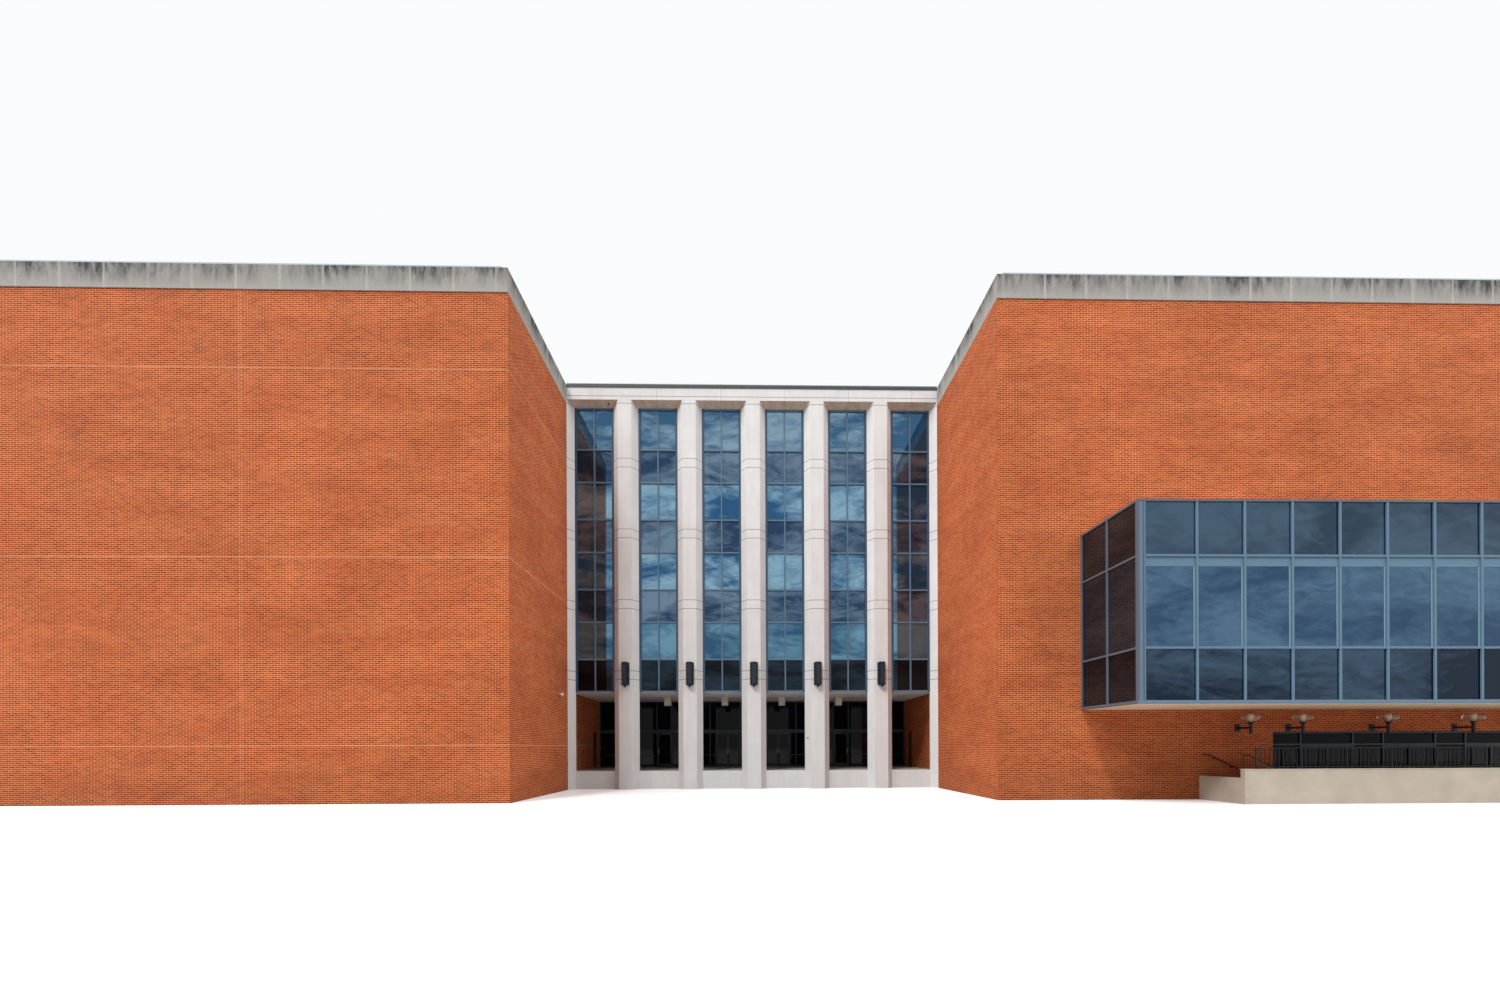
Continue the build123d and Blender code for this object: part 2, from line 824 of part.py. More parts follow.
front_rows = window_rows(soffit_z)
rear_rows = window_rows(plaza_z)
save(
    "curtain_frames",
    *[curtain_frame(middle, front_rows) for middle in bay_middles],
    *[at_rear(curtain_frame(middle, rear_rows)) for middle in bay_middles],
)
save(
    "curtain_glass",
    *[curtain_sheet(middle, front_rows) for middle in bay_middles],
    *[at_rear(curtain_sheet(middle, rear_rows)) for middle in bay_middles],
)
save(
    "plinth_walls",
    *[plinth(middle) for middle in bay_middles],
    *[at_rear(plinth(middle)) for middle in bay_middles],
)
save("ground_floor", block(
    (-court_half, court_half), (inner_y, rear_inner_y), (plaza_z - slab, plaza_z)
))
save("upper_floors", *[centre_floor(level) for level in floor_levels])
roof_top = plaza_z + head_top - roof_below_head
save("centre_roof", block(
    (-court_half, court_half), (pier_y + head_depth, rear_y - head_depth), (roof_top - slab, roof_top)
))

# Loggia
save("loggia_soffit", block(
    (-court_half, court_half), (inner_y + glass, entrance_y + entrance_depth), (soffit_z, soffit_z + soffit)
))
save("entrance_posts", *entrance_frame_posts())
save("entrance_rails", *entrance_rails())
save("entrance_glass", *entrance_glass())
for name, shape in entrance_doors().items():
    save(f"right_{name}_door", shape)
    save(f"left_{name}_door", mirrored(shape))
save("left_side_door", side_door())
save("right_side_door", mirrored(side_door()))
save("ceiling_lamps", *[ceiling_lamp_box(place * bay_pitch) for place in ceiling_lamp_bays])

# Wings
jamb_near = pier_y + side_door_back
jamb_far = jamb_near + side_door_width
lintel = (plaza_z + side_door_height, wall_top_z)
near_wall = inner_wall((wing_front, jamb_near))
far_wall = inner_wall((jamb_far, wing_rear))
over_door = inner_wall((jamb_near, jamb_far), lintel)
under_door = inner_wall((jamb_near, jamb_far), (0, plaza_z))
save("inner_walls_front", near_wall, mirrored(near_wall))
save("inner_walls_rear", far_wall, mirrored(far_wall))
save("side_doorway_walls", over_door, under_door, mirrored(over_door), mirrored(under_door))
outer_wall = block((outer_face, half_width), (wing_front, wing_rear), (0, wall_top_z))
rear_wall = block((inner_face, outer_face), (wing_rear - wall, wing_rear), (0, wall_top_z))
save("outer_walls", outer_wall, mirrored(outer_wall))
save("rear_walls", rear_wall, mirrored(rear_wall))
save("left_front_wall", mirrored(front_wall((inner_face, outer_face), (0, wall_top_z))))
save(
    "right_front_wall_ends",
    front_wall((inner_face, opening_left), (0, wall_top_z)),
    front_wall((opening_right, outer_face), (0, wall_top_z)),
)
save(
    "right_front_wall_spans",
    front_wall((opening_left, opening_right), (box_z[1], wall_top_z)),
    front_wall((opening_left, opening_right), (plaza_z + entry_head, box_z[0])),
)
save("right_front_wall_low", front_wall((opening_left, entry_left), (0, plaza_z + entry_head)))
coping_z = (wall_top_z, wall_top_z + wing_coping)
coping_ring = wing_ring(wing_coping_width, wing_coping_lip, coping_z)
save("wing_copings", coping_ring, mirrored(coping_ring))
save("wing_roofs", wing_roof_slab(), mirrored(wing_roof_slab()))
floor_z = (plaza_z - slab, plaza_z)
save(
    "wing_floors",
    inside_wing((inner_face, court_left), floor_z),
    mirrored(inside_wing((inner_face, outer_face), floor_z)),
)

# Glazed box
save("box_frames", box_frames())
save("box_glass", *box_sheets())
save("box_floor", box_plate((box_z[0], box_z[0] + box_slab)))
save("box_roof", box_plate((box_z[1] - box_ceiling, box_z[1])))
save("box_level_floor", inside_wing((inner_face, outer_face), (box_z[0], box_z[0] + box_slab)))

# Sunken entry
save("entry_posts", *entry_posts())
save("entry_rails", *entry_rails())
save("entry_glass", *entry_glass())
save("sunken_floor", block(
    (court_left, outer_face), (wing_front + wall, wing_rear - wall), (0, sunken_floor)
))
save("entry_sill", block(
    (entry_left, opening_right), (wing_front, wing_front + wall), (0, sunken_floor)
))
save("entry_stair", stair())
save("court_wall", block(
    (court_left, court_right), (court_front, court_inside), (0, plaza_z + court_wall_top)
))
save("court_end_wall", block(
    (court_right - court_wall, court_right), (court_inside, wing_front), (0, plaza_z + court_wall_top)
))
save("guard_rail", guard_rail())
save("hand_rails", wall_hand_rail(), court_hand_rail())

# Lamps and the dome camera
save("sconces", *[sconce(middle) for middle in pier_middles])
save("globe_arms", *[globe_arm(x) for x in globe_places()])
save("globes", *[globe(x) for x in globe_places()])
save("dome_camera", dome_camera())
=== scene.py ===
# %% [markdown]
# # An office building, dressed in Blender
# The solids of the building come packed from the CAD model as a fixed frame. This lesson adds what
# the solids leave out: the bricks and their joints, the weathered copings, the bars and the coated
# glass of the curtain wall, the entrance doors, the glazed box, the railings and the lamps.
# Everything is in metres of the 1:2 model, in the same frame as the solids.

import bmesh
import bpy
import numpy as np
from mathutils import Matrix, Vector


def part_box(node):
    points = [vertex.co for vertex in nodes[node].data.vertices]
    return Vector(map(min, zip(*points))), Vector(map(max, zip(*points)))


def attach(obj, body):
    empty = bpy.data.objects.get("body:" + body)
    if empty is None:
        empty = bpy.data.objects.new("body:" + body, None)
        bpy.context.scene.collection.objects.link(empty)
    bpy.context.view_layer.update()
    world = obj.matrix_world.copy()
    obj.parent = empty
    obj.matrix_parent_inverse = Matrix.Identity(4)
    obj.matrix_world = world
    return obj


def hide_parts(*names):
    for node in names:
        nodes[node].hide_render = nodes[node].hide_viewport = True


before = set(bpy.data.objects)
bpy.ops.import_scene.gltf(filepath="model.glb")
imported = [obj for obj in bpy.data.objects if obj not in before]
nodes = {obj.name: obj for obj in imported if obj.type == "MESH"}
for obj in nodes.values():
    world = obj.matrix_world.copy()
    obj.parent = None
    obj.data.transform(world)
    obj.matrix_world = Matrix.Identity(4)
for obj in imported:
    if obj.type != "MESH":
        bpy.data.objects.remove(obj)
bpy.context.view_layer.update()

# %% [markdown]
# ## Sizes that the pieces share
# A building repeats itself: one bay pitch sets the piers, the glass and even the bars of the
# glazed box. The values below say once where the planes lie, so that every piece is worked out
# from them.

# %% Planes and levels of the building
plaza = 0.5                  # ground floor, above the sunken entry
bay_pitch = 1.765
bay_middles = (np.arange(6) - 2.5) * bay_pitch
pier_middles = (np.arange(5) - 2) * bay_pitch
pier_y = -2.135              # faces of the front piers
rear_y = 6.865               # faces of the rear piers
court_half = 5.11            # from the middle to the wings' inner faces
glass_y = pier_y + 0.205
window_half = 0.5425
head_z = plaza + 10.1
storey = 1.945
first_floor = plaza + 2.65
floors = first_floor + np.arange(4) * storey
spandrel_half = 0.455
soffit_z = first_floor - spandrel_half
entrance_y = pier_y + 3.35
wing_front = pier_y - 3.75
box_front = wing_front - 1.75
box_left = court_half + bay_pitch
box_margin = 1.095           # from the end of the box to its first mullion
box_right = box_left + 2 * box_margin + 4.5 * bay_pitch
box_depth = 0.03             # of the box's bars, in front of its glass
opening_right = box_right - box_depth
print("bays", bay_middles.round(3), "box", round(box_left, 3), round(box_right, 3))

# %% [markdown]
# ## Shapes as arrays
# Most of what a building wears is a bar: one cross-section carried along a straight line. It could
# be a scaled cube each time, but a cross-section with cut corners catches the light along its
# edges as real metal does. So a shape here is a pair of arrays, its points and its faces, and
# many bars are worked out at once.

# %% Sections, places and faces
AXES = {"x": (0, 1, 2), "y": (1, 2, 0), "z": (2, 0, 1)}


def cut_bar(width, depth, cut=0.003):
    """Cross-section of a bar: a rectangle about its middle with its four corners cut off."""
    x, y = width / 2, depth / 2
    corner = [(-x + cut, -y), (x - cut, -y), (x, -y + cut), (x, y - cut)]
    return np.array(corner + [(-a, -b) for a, b in corner])


def spots(*ways):
    """Places = one coordinate from each array, side by side. A single number is repeated."""
    return np.stack(np.broadcast_arrays(*ways), -1)


def between(places, half):
    """Spans from the edge of each upright to the edge of the next: place + half to next - half."""
    return spots(places[:-1] + half, places[1:] - half)


def skin(rings):
    """Faces over rings: a quad joins two neighbours on a ring to the same two on the next ring.

    The array runs over shapes, rings, points and x y z. The first and last rings become caps.
    """
    number = np.arange(rings[..., 0].size).reshape(rings.shape[:3])
    after = np.roll(number, -1, 2)
    quads = np.stack([number[:, :-1], after[:, :-1], after[:, 1:], number[:, 1:]], -1)
    caps = np.concatenate([number[:, 0, ::-1], number[:, -1]])
    return rings.reshape(-1, 3), [quads.reshape(-1, 4), caps]


# %% Bars, lathes and tubes
def bars(size, axis, middles, spans):
    """Straight bars: point = middle of the bar + point of the section, at both ends of its span.

    For bars along z the section lies in x and y, along x in y and z, along y in z and x. It is
    given by the numbers of cut_bar, or by its points. One middle or span may serve all the bars.
    """
    section = cut_bar(*size) if isinstance(size, tuple) else size
    middles, spans = np.broadcast_arrays(np.atleast_2d(middles), np.atleast_2d(spans))
    main, first, second = AXES[axis]
    rings = np.empty((len(middles), 2, len(section), 3))
    rings[..., main] = spans[:, :, None]
    rings[..., [first, second]] = (middles[:, None] + section)[:, None]
    return skin(rings)


def lathe(profile, places, sides=24):
    """Turned pieces: radius and height of each profile point, swept round an upright line."""
    turn = np.linspace(0, 2 * np.pi, sides, endpoint=False)
    radius, height = np.array(profile).T[..., None]
    rings = spots(radius * np.cos(turn), radius * np.sin(turn), height)
    return skin(np.atleast_2d(places)[:, None, None] + rings)


def tube(path, radius, sides=12):
    """A round rail on a path in an upright plane of x and z: point = path + radius * ring.

    Each ring stands square to the mean of the two runs that meet there, and is drawn out by one
    over the cosine of half the bend, so the bends are mitred.
    """
    runs = np.diff(path, axis=0)
    runs /= np.linalg.norm(runs, axis=1)[:, None]
    along = np.vstack([runs[:1], runs[1:] + runs[:-1], runs[-1:]])
    along /= np.linalg.norm(along, axis=1)[:, None]
    cosine = np.einsum("ij,ij->i", along, np.vstack([runs, runs[-1:]]))
    up = spots(-along[:, 2], 0, along[:, 0]) / cosine[:, None]
    turn = np.linspace(0, 2 * np.pi, sides, endpoint=False)[:, None]
    ring = np.cos(turn) * (0, 1, 0) + np.sin(turn) * up[:, None]
    return skin((path[:, None] + radius * ring)[None])


# %% Joining and mirroring shapes
def joined(*shapes):
    """Several shapes as one: the faces of each count on from the points before it."""
    points, faces, total = [], [], 0
    for some_points, some_faces in shapes:
        points.append(some_points)
        faces += [block + total for block in some_faces]
        total += len(some_points)
    return np.concatenate(points), faces


def at_rear(shape):
    """The same shape on the rear front: y is mirrored in the middle of the centre block."""
    points, faces = shape
    return points * (1, -1, 1) + (0, pier_y + rear_y, 0), faces


def both_sides(shape):
    """A shape and its mirror image in x."""
    points, faces = shape
    return joined(shape, (points * (-1, 1, 1), faces))


# %% [markdown]
# A piece becomes an object in one place only. Its faces are turned outwards there, so a mirrored
# shape needs no care, and it rides on the body of the CAD model that carries it.

# %% Making a piece
def piece(name, shape, finish, body="building", replaces=(), smooth=False):
    points, faces = shape
    mesh = bpy.data.meshes.new(name)
    mesh.from_pydata(points.tolist(), [], [face for block in faces for face in block.tolist()])
    work = bmesh.new()
    work.from_mesh(mesh)
    bmesh.ops.recalc_face_normals(work, faces=work.faces)
    work.to_mesh(mesh)
    work.free()
    mesh.materials.append(finish.material)
    if smooth:
        mesh.shade_smooth()
    made = bpy.data.objects.new(name, mesh)
    bpy.context.scene.collection.objects.link(made)
    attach(made, body)
    if replaces:
        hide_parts(*replaces)
    print(name, len(mesh.polygons), "faces")


# %% [markdown]
# ## Shader nodes
# A finish is a small graph of nodes. It could be wired socket by socket, but then the sums hide
# what is painted. So one class does the wiring, and each of its methods adds one node and hands
# back what comes out of it. Two kinds of graph follow from it: a node group, which several
# materials share with numbers of their own, and a finish, which is a material.

# %% Graphs of nodes
class Graph:
    """A node tree. Inputs may be numbers, colours or the outputs of other nodes."""

    def __init__(self, tree):
        self.tree = tree

    def feed(self, node, inputs):
        for name, value in dict(inputs).items():
            if isinstance(value, bpy.types.NodeSocket):
                self.tree.links.new(value, node.inputs[name])
            else:
                node.inputs[name].default_value = value
        return node.outputs

    def add(self, kind, inputs=(), **settings):
        node = self.tree.nodes.new("ShaderNode" + kind)
        for name, value in settings.items():
            setattr(node, name, value)
        return self.feed(node, inputs)

    def use(self, group, inputs=()):
        """Places a node group."""
        return self.add("Group", inputs, node_tree=group.tree)

    def math(self, operation, *values):
        return self.add("Math", enumerate(values), operation=operation)[0]

    def plus(self, first, second):
        return self.math("ADD", first, second)

    def minus(self, first, second):
        return self.math("SUBTRACT", first, second)

    def times(self, first, second):
        return self.math("MULTIPLY", first, second)

    def most(self, first, second):
        return self.math("MAXIMUM", first, second)

    def ramp(self, value, low, high):
        """Spreads the values between low and high over 0 to 1, and holds them outside."""
        inputs = {"Value": value, "From Min": low, "From Max": high}
        return self.add("MapRange", inputs, clamp=True)[0]

    def noise(self, vector, scale, detail=3.0, roughness=0.55, distortion=0.0):
        return self.add("TexNoise", {
            "Vector": vector, "Scale": scale, "Detail": detail, "Roughness": roughness,
            "Distortion": distortion})["Fac"]

    def vector(self, x, y=0.0):
        return self.add("CombineXYZ", {0: x, 1: y})[0]

    def apart(self, vector):
        """The three parts of a vector."""
        return self.add("SeparateXYZ", {0: vector})

    def blend(self, share, first, second, mode="MIX"):
        """Mixes two colours by a share."""
        inputs = {0: share, 6: first, 7: second}
        return self.add("Mix", inputs, data_type="RGBA", blend_type=mode)[2]

    def coat(self, colour, mask, strength, paint):
        """Lays a paint over a colour: share of the paint = mask times strength."""
        return self.blend(self.times(mask, strength), colour, paint)


# %% Groups and finishes
class Group(Graph):
    """A node group. Its inputs are numbers."""

    def __init__(self, name, **inputs):
        super().__init__(bpy.data.node_groups.new(name, "ShaderNodeTree"))
        for label, value in inputs.items():
            self.socket(label, "INPUT", "Float").default_value = value
        self.given = self.tree.nodes.new("NodeGroupInput").outputs

    def socket(self, label, way, kind):
        return self.tree.interface.new_socket(label, in_out=way, socket_type="NodeSocket" + kind)

    def hand_out(self, **outputs):
        for label, value in outputs.items():
            self.socket(label, "OUTPUT", "Vector" if value.type == "VECTOR" else "Float")
        self.feed(self.tree.nodes.new("NodeGroupOutput"), outputs)
        print("group", self.tree.name, "puts out", ", ".join(outputs))


class Finish(Graph):
    """A material with one Principled shader. An underscore in a socket's name is a space."""

    def __init__(self, name, **sockets):
        self.material = bpy.data.materials.new(name)
        self.material.use_nodes = True
        self.material.diffuse_color = (0.5, 0.5, 0.5, 1)
        super().__init__(self.material.node_tree)
        self.set(**sockets)

    def set(self, **sockets):
        shader = self.tree.nodes["Principled BSDF"]
        self.feed(shader, {label.replace("_", " "): value for label, value in sockets.items()})

    def bump(self, height, strength, distance):
        inputs = {"Height": height, "Strength": strength, "Distance": distance}
        self.set(Normal=self.add("Bump", inputs)[0])


def rgb(red, green, blue):
    """A colour as it is read off a screen, 0 to 255, turned into the linear values of a shader."""
    value = np.array([red, green, blue]) / 255
    linear = np.where(value <= 0.04045, value / 12.92, ((value + 0.055) / 1.055) ** 2.4)
    return (*linear.tolist(), 1.0)


def dress(finish, *names):
    """Gives CAD nodes a better material. Their meshes stay as they are."""
    for name in names:
        for slot in nodes[name].material_slots:
            slot.material = finish.material
    print(finish.material.name, "on", ", ".join(names))


# %% [markdown]
# ## Flat patterns on upright walls
# Bricks and joints are drawn in the plane of a wall. A wall that faces the front runs along x, a
# side wall along y. The group below looks at which way a face points and hands out the distance
# along the wall and the height, so one pattern serves all the walls, and it meets at the corners.

# %% The wall plane
wall_plane = Group("wall_plane")
place = wall_plane.apart(wall_plane.add("TexCoord")["Object"])
facing = wall_plane.apart(wall_plane.add("NewGeometry")["True Normal"])
steep = 0.7                  # share of a normal past which a face counts as a side or as flat
is_side = wall_plane.math("GREATER_THAN", wall_plane.math("ABSOLUTE", facing[0]), steep)
is_flat = wall_plane.math("GREATER_THAN", wall_plane.math("ABSOLUTE", facing[2]), steep)
along = wall_plane.add("Mix", {0: is_side, 2: place[0], 3: place[1]})[0]
upward = wall_plane.add("Mix", {0: is_flat, 2: place[2], 3: place[1]})[0]
wall_plane.hand_out(Along=along, Up=upward, Place=wall_plane.vector(along, upward))

# %% [markdown]
# Joints between cast panels come at a steady pitch, often as a pair. The distance to the nearest
# multiple of the pitch is measured, and a joint is drawn where that distance equals the offset.

# %% Joints at a steady pitch
joints_at = Group("joints_at_a_pitch", Value=0.0, First=0.0, Pitch=1.0, Offset=0.0, Width=0.005)
given = joints_at.given
half_pitch = joints_at.times(given["Pitch"], 0.5)
shifted = joints_at.plus(joints_at.minus(given["Value"], given["First"]), half_pitch)
turned = joints_at.math("FLOORED_MODULO", shifted, given["Pitch"])
distance = joints_at.math("ABSOLUTE", joints_at.minus(turned, half_pitch))
gap = joints_at.math("ABSOLUTE", joints_at.minus(distance, given["Offset"]))
joints_at.hand_out(Joint=joints_at.math("LESS_THAN", gap, given["Width"]))


def joint_lines(graph, value, first, pitch, width, offset=0.0):
    """The mask of the joints: 1 within a width of them, 0 elsewhere."""
    return graph.use(joints_at, {"Value": value, "First": first, "Pitch": pitch,
                                 "Offset": offset, "Width": width})["Joint"]


# %% [markdown]
# Rain draws dirt down a wall in streaks. Noise that is squeezed along the wall and stretched
# upwards gives such streaks. The group puts out a mask, and each material says what it stains.

# %% Rain streaks
rain_streaks = Group("rain_streaks", Scale=6.0, Stretch=0.12)
given = rain_streaks.given
plane = rain_streaks.use(wall_plane)
squeezed = rain_streaks.vector(plane["Along"], rain_streaks.times(plane["Up"], given["Stretch"]))
wide = rain_streaks.noise(squeezed, given["Scale"], 5.0, 0.65)
rain_streaks.hand_out(Streak=rain_streaks.ramp(wide, 0.42, 0.68))


def rain(graph, scale, stretch):
    """The mask of the streaks: a larger scale makes more of them, a larger stretch shorter ones."""
    return graph.use(rain_streaks, {"Scale": scale, "Stretch": stretch})["Streak"]


# %% [markdown]
# ## Floor, light and camera
# The building stands on a plain pale floor in soft light. The world is white where the camera, or
# a reflection, looks at it, and weaker for the light that falls on the building. A soft sun from
# the front and the left gives the walls their shape. Two weaker ones from the sides light the
# walls of the court, which would stay dull between the two wings.

# %% The floor and the world
def looked_at(graph):
    """1 where the camera looks, also by a mirror or through glass, and 0 for light on surfaces."""
    rays = graph.add("LightPath")
    direct = graph.most(rays["Is Camera Ray"], rays["Is Glossy Ray"])
    return graph.most(direct, rays["Is Transmission Ray"])


floor_mesh = bpy.data.meshes.new("floor")
reach = 400.0
floor_corners = [(-reach, -reach, 0), (reach, -reach, 0), (reach, reach, 0), (-reach, reach, 0)]
floor_mesh.from_pydata(floor_corners, [], [(0, 1, 2, 3)])
floor = bpy.data.objects.new("floor", floor_mesh)
bpy.context.scene.collection.objects.link(floor)
floor_finish = Finish("floor_finish", Roughness=0.9)
floor_grey, floor_white = (0.36, 0.355, 0.35, 1), (0.94, 0.94, 0.94, 1)
floor_finish.set(Base_Color=floor_finish.blend(looked_at(floor_finish), floor_grey, floor_white))
floor_mesh.materials.append(floor_finish.material)
print("floor", reach, "m to each side")

world = bpy.data.worlds.new("studio")
world.use_nodes = True
bpy.context.scene.world = world
studio = Graph(world.node_tree)
lit, more_when_looked_at = 0.44, 0.54
strength = studio.plus(studio.times(looked_at(studio), more_when_looked_at), lit)
studio.feed(studio.tree.nodes["Background"], {"Color": (0.97, 0.985, 1.0, 1), "Strength": strength})


# %% The suns
def soft_sun(name, energy, height, side, spread):
    """A sun that stands some degrees above the ground, and to the right of the front's middle."""
    lamp = bpy.data.lights.new(name, "SUN")
    lamp.energy, lamp.angle = energy, np.radians(spread)
    made = bpy.data.objects.new(name, lamp)
    made.rotation_euler = np.radians((90 - height, 0, side))
    bpy.context.scene.collection.objects.link(made)
    print("sun", name, energy)


soft_sun("key", 1.42, 48, -26, 9)
soft_sun("left_fill", 3.0, 50, -74, 50)
soft_sun("right_fill", 2.1, 50, 74, 50)

# %% [markdown]
# The camera was found from the photograph itself: the long lines of the copings and the box meet
# at two points, which give the lens, the place and a small roll. The uprights stay parallel, so
# the view looks level and the frame is shifted up instead.

# %% The camera
photo_wide, photo_high = 1500, 1000
focal, centre_x, centre_y = 561.46, 759.31, 748.10      # in pixels of the photograph
turn, roll = np.radians(1.1443), np.radians(0.2324)
camera_data = bpy.data.cameras.new("camera")
camera_data.sensor_width = 36
camera_data.lens = focal / photo_wide * camera_data.sensor_width
camera_data.shift_x = (photo_wide / 2 - centre_x) / photo_wide
camera_data.shift_y = (centre_y - photo_high / 2) / photo_wide
camera = bpy.data.objects.new("camera", camera_data)
right = np.array([np.cos(turn), -np.sin(turn), 0])
forward = np.array([np.sin(turn), np.cos(turn), 0])
up = np.array([0, 0, 1.0])
tilted_right = np.cos(roll) * right - np.sin(roll) * up
tilted_up = np.sin(roll) * right + np.cos(roll) * up
rotation = Matrix(np.stack([tilted_right, tilted_up, -forward], 1).tolist()).to_4x4()
eye = (-0.1702, pier_y - 15.4928, plaza + 0.6244)
camera.matrix_world = Matrix.Translation(eye) @ rotation
bpy.context.scene.collection.objects.link(camera)
bpy.context.scene.camera = camera
bpy.context.scene.view_settings.view_transform = "Standard"
print("lens", round(camera_data.lens, 2), "mm")

# %% [markdown]
# ## Brick
# The wings are faced with long orange bricks in running bond: each course is 40.6 mm in the model
# and each brick 127 mm, with pale joints. They are far too many to model, so they are drawn and
# bumped by a brick texture on the wall plane. Two slow noises shift the tone, since batches of
# brick and damp courses never match.

# %% The bricks and their tone
brick = Finish("brick", Roughness=0.88, Specular_IOR_Level=0.25)
plane = brick.use(wall_plane)
bond = brick.add("TexBrick", {
    "Vector": plane["Place"], "Color1": rgb(196, 82, 28), "Color2": rgb(150, 52, 14),
    "Mortar": rgb(246, 190, 132), "Scale": 1.0, "Mortar Size": 0.0034, "Mortar Smooth": 0.1,
    "Bias": -0.05, "Brick Width": 0.127, "Row Height": 0.0406}, offset=0.5)
batch = brick.noise(plane["Place"], 0.45)
band = brick.noise(brick.vector(brick.times(plane["Along"], 0.25), plane["Up"]), 2.2, 4.0, 0.6)
tone = brick.plus(brick.plus(brick.times(batch, 0.45), brick.times(band, 0.42)), 0.55)
red_share = brick.times(brick.ramp(band, 0.60, 0.40), 0.7)
clay = brick.blend(red_share, bond["Color"], (0.98, 0.82, 0.76, 1), "MULTIPLY")
grain = brick.noise(plane["Place"], 90.0, 2.0)
brightness = brick.times(tone, brick.ramp(grain, -2.2, 1.0))
toned = brick.add("VectorMath", {0: clay, "Scale": brightness}, operation="SCALE")[0]

# %% [markdown]
# Soft joints cut the brickwork into fields, so that it can move with the heat. Their filler is dark
# on the right wing and pale on the left. The foot of the walls is splashed, and rain leaves faint
# streaks.

# %% The brick walls
control_width = 0.005
fields = joint_lines(brick, plane["Along"], 10.575, 21.15, control_width, 0.02)
levels = joint_lines(brick, plane["Up"], plaza + 4.6, 2 * storey, control_width)
control = brick.most(brick.times(fields, 0.4), levels)
on_left = brick.math("LESS_THAN", brick.apart(brick.add("TexCoord")["Object"])[0], 0.0)
filler = brick.blend(on_left, rgb(132, 56, 30), rgb(228, 170, 132))
splash = brick.times(brick.ramp(plane["Up"], 1.1, 0.2), 0.18)
dirt = brick.plus(brick.times(rain(brick, 3.0, 0.06), 0.10), splash)
brick.set(Base_Color=brick.blend(dirt, brick.coat(toned, control, 0.75, filler), rgb(104, 62, 44)))
relief = brick.minus(brick.times(grain, 0.3), bond["Fac"])
brick.bump(brick.minus(relief, control), 0.5, 0.004)
dress(brick, "inner_walls_front", "inner_walls_rear", "side_doorway_walls", "outer_walls",
      "rear_walls", "left_front_wall", "right_front_wall_ends", "right_front_wall_spans",
      "right_front_wall_low")

# %% [markdown]
# ## Precast concrete
# The piers and the head are white cast panels. Each upper floor has a pair of thin joints, one
# above and one below it, and the head has an upright joint over each bay. The cast face has fine
# grit and faint streaks under the joints. The sloping undersides are brown: partly a stain, which
# rain never washes, and partly painted shade.

# %% The precast finish
def precast_finish(name, upright_joints):
    cast = Finish(name, Roughness=0.72, Specular_IOR_Level=0.3)
    plane = cast.use(wall_plane)
    pair = joint_lines(cast, plane["Up"], first_floor, storey, 0.008, 0.12)
    top = joint_lines(cast, plane["Up"], plaza + 10.115, 40.0, 0.008)
    upper = cast.math("GREATER_THAN", plane["Up"], first_floor - 0.5)
    joint = cast.most(cast.times(pair, upper), top)
    if upright_joints:
        over_bays = joint_lines(cast, plane["Along"], bay_pitch / 2, bay_pitch, 0.003)
        joint = cast.most(joint, over_bays)
    grit = cast.noise(plane["Place"], 60.0)
    patches = cast.ramp(cast.noise(plane["Place"], 1.6, 4.0), 0.35, 0.7)
    pale = cast.blend(patches, rgb(221, 221, 220), rgb(212, 212, 212))
    pale = cast.coat(pale, rain(cast, 7.0, 0.08), 0.16, rgb(178, 171, 163))
    pale = cast.coat(pale, cast.ramp(grit, 0.35, 0.75), 0.10, rgb(190, 184, 176))
    mottle = cast.ramp(cast.noise(plane["Place"], 5.0, 5.0, 0.7), 0.4, 0.65)
    stain_and_shade = cast.blend(mottle, rgb(192, 178, 162), rgb(172, 148, 124))
    facing_up = cast.apart(cast.add("NewGeometry")["True Normal"])[2]
    # faces that point down turn brown: partly stain, partly painted shade
    pale = cast.coat(pale, cast.ramp(facing_up, -0.25, -0.6), 0.92, stain_and_shade)
    cast.set(Base_Color=cast.coat(pale, joint, 0.85, rgb(104, 99, 97)))
    cast.bump(cast.minus(cast.times(grit, 0.15), joint), 0.35, 0.003)
    return cast


dress(precast_finish("precast_piers", False), "front_piers", "rear_piers", "plinth_walls")
dress(precast_finish("precast_head", True), "head_beams")

# %% [markdown]
# ## Copings
# A band of grey cast concrete caps the wings. It is the dirtiest part of the building: soot
# darkens its upper half, rain washes pale lines at the panel joints, and short streaks reach
# down. The stain is built from the height above the band's foot, broken by noise.

# %% Soot on the coping
coping = Finish("weathered_coping", Roughness=0.92, Specular_IOR_Level=0.2)
plane = coping.use(wall_plane)
coping_foot, coping_top = plaza + 10.09, plaza + 10.595
height = coping.ramp(plane["Up"], coping_foot, coping_top)
short, long = rain(coping, 9.0, 0.25), rain(coping, 2.6, 0.35)
patchy = coping.ramp(coping.noise(coping.vector(plane["Along"]), 0.55, 2.0), 0.36, 0.64)
soot = coping.times(coping.math("POWER", height, 1.2), coping.plus(coping.times(short, 0.7), 0.24))
soot = coping.plus(soot, coping.times(coping.times(long, height), 0.6))
soot = coping.times(soot, coping.plus(coping.times(patchy, 1.05), 0.45))
soot = coping.math("MINIMUM", soot, 0.95)

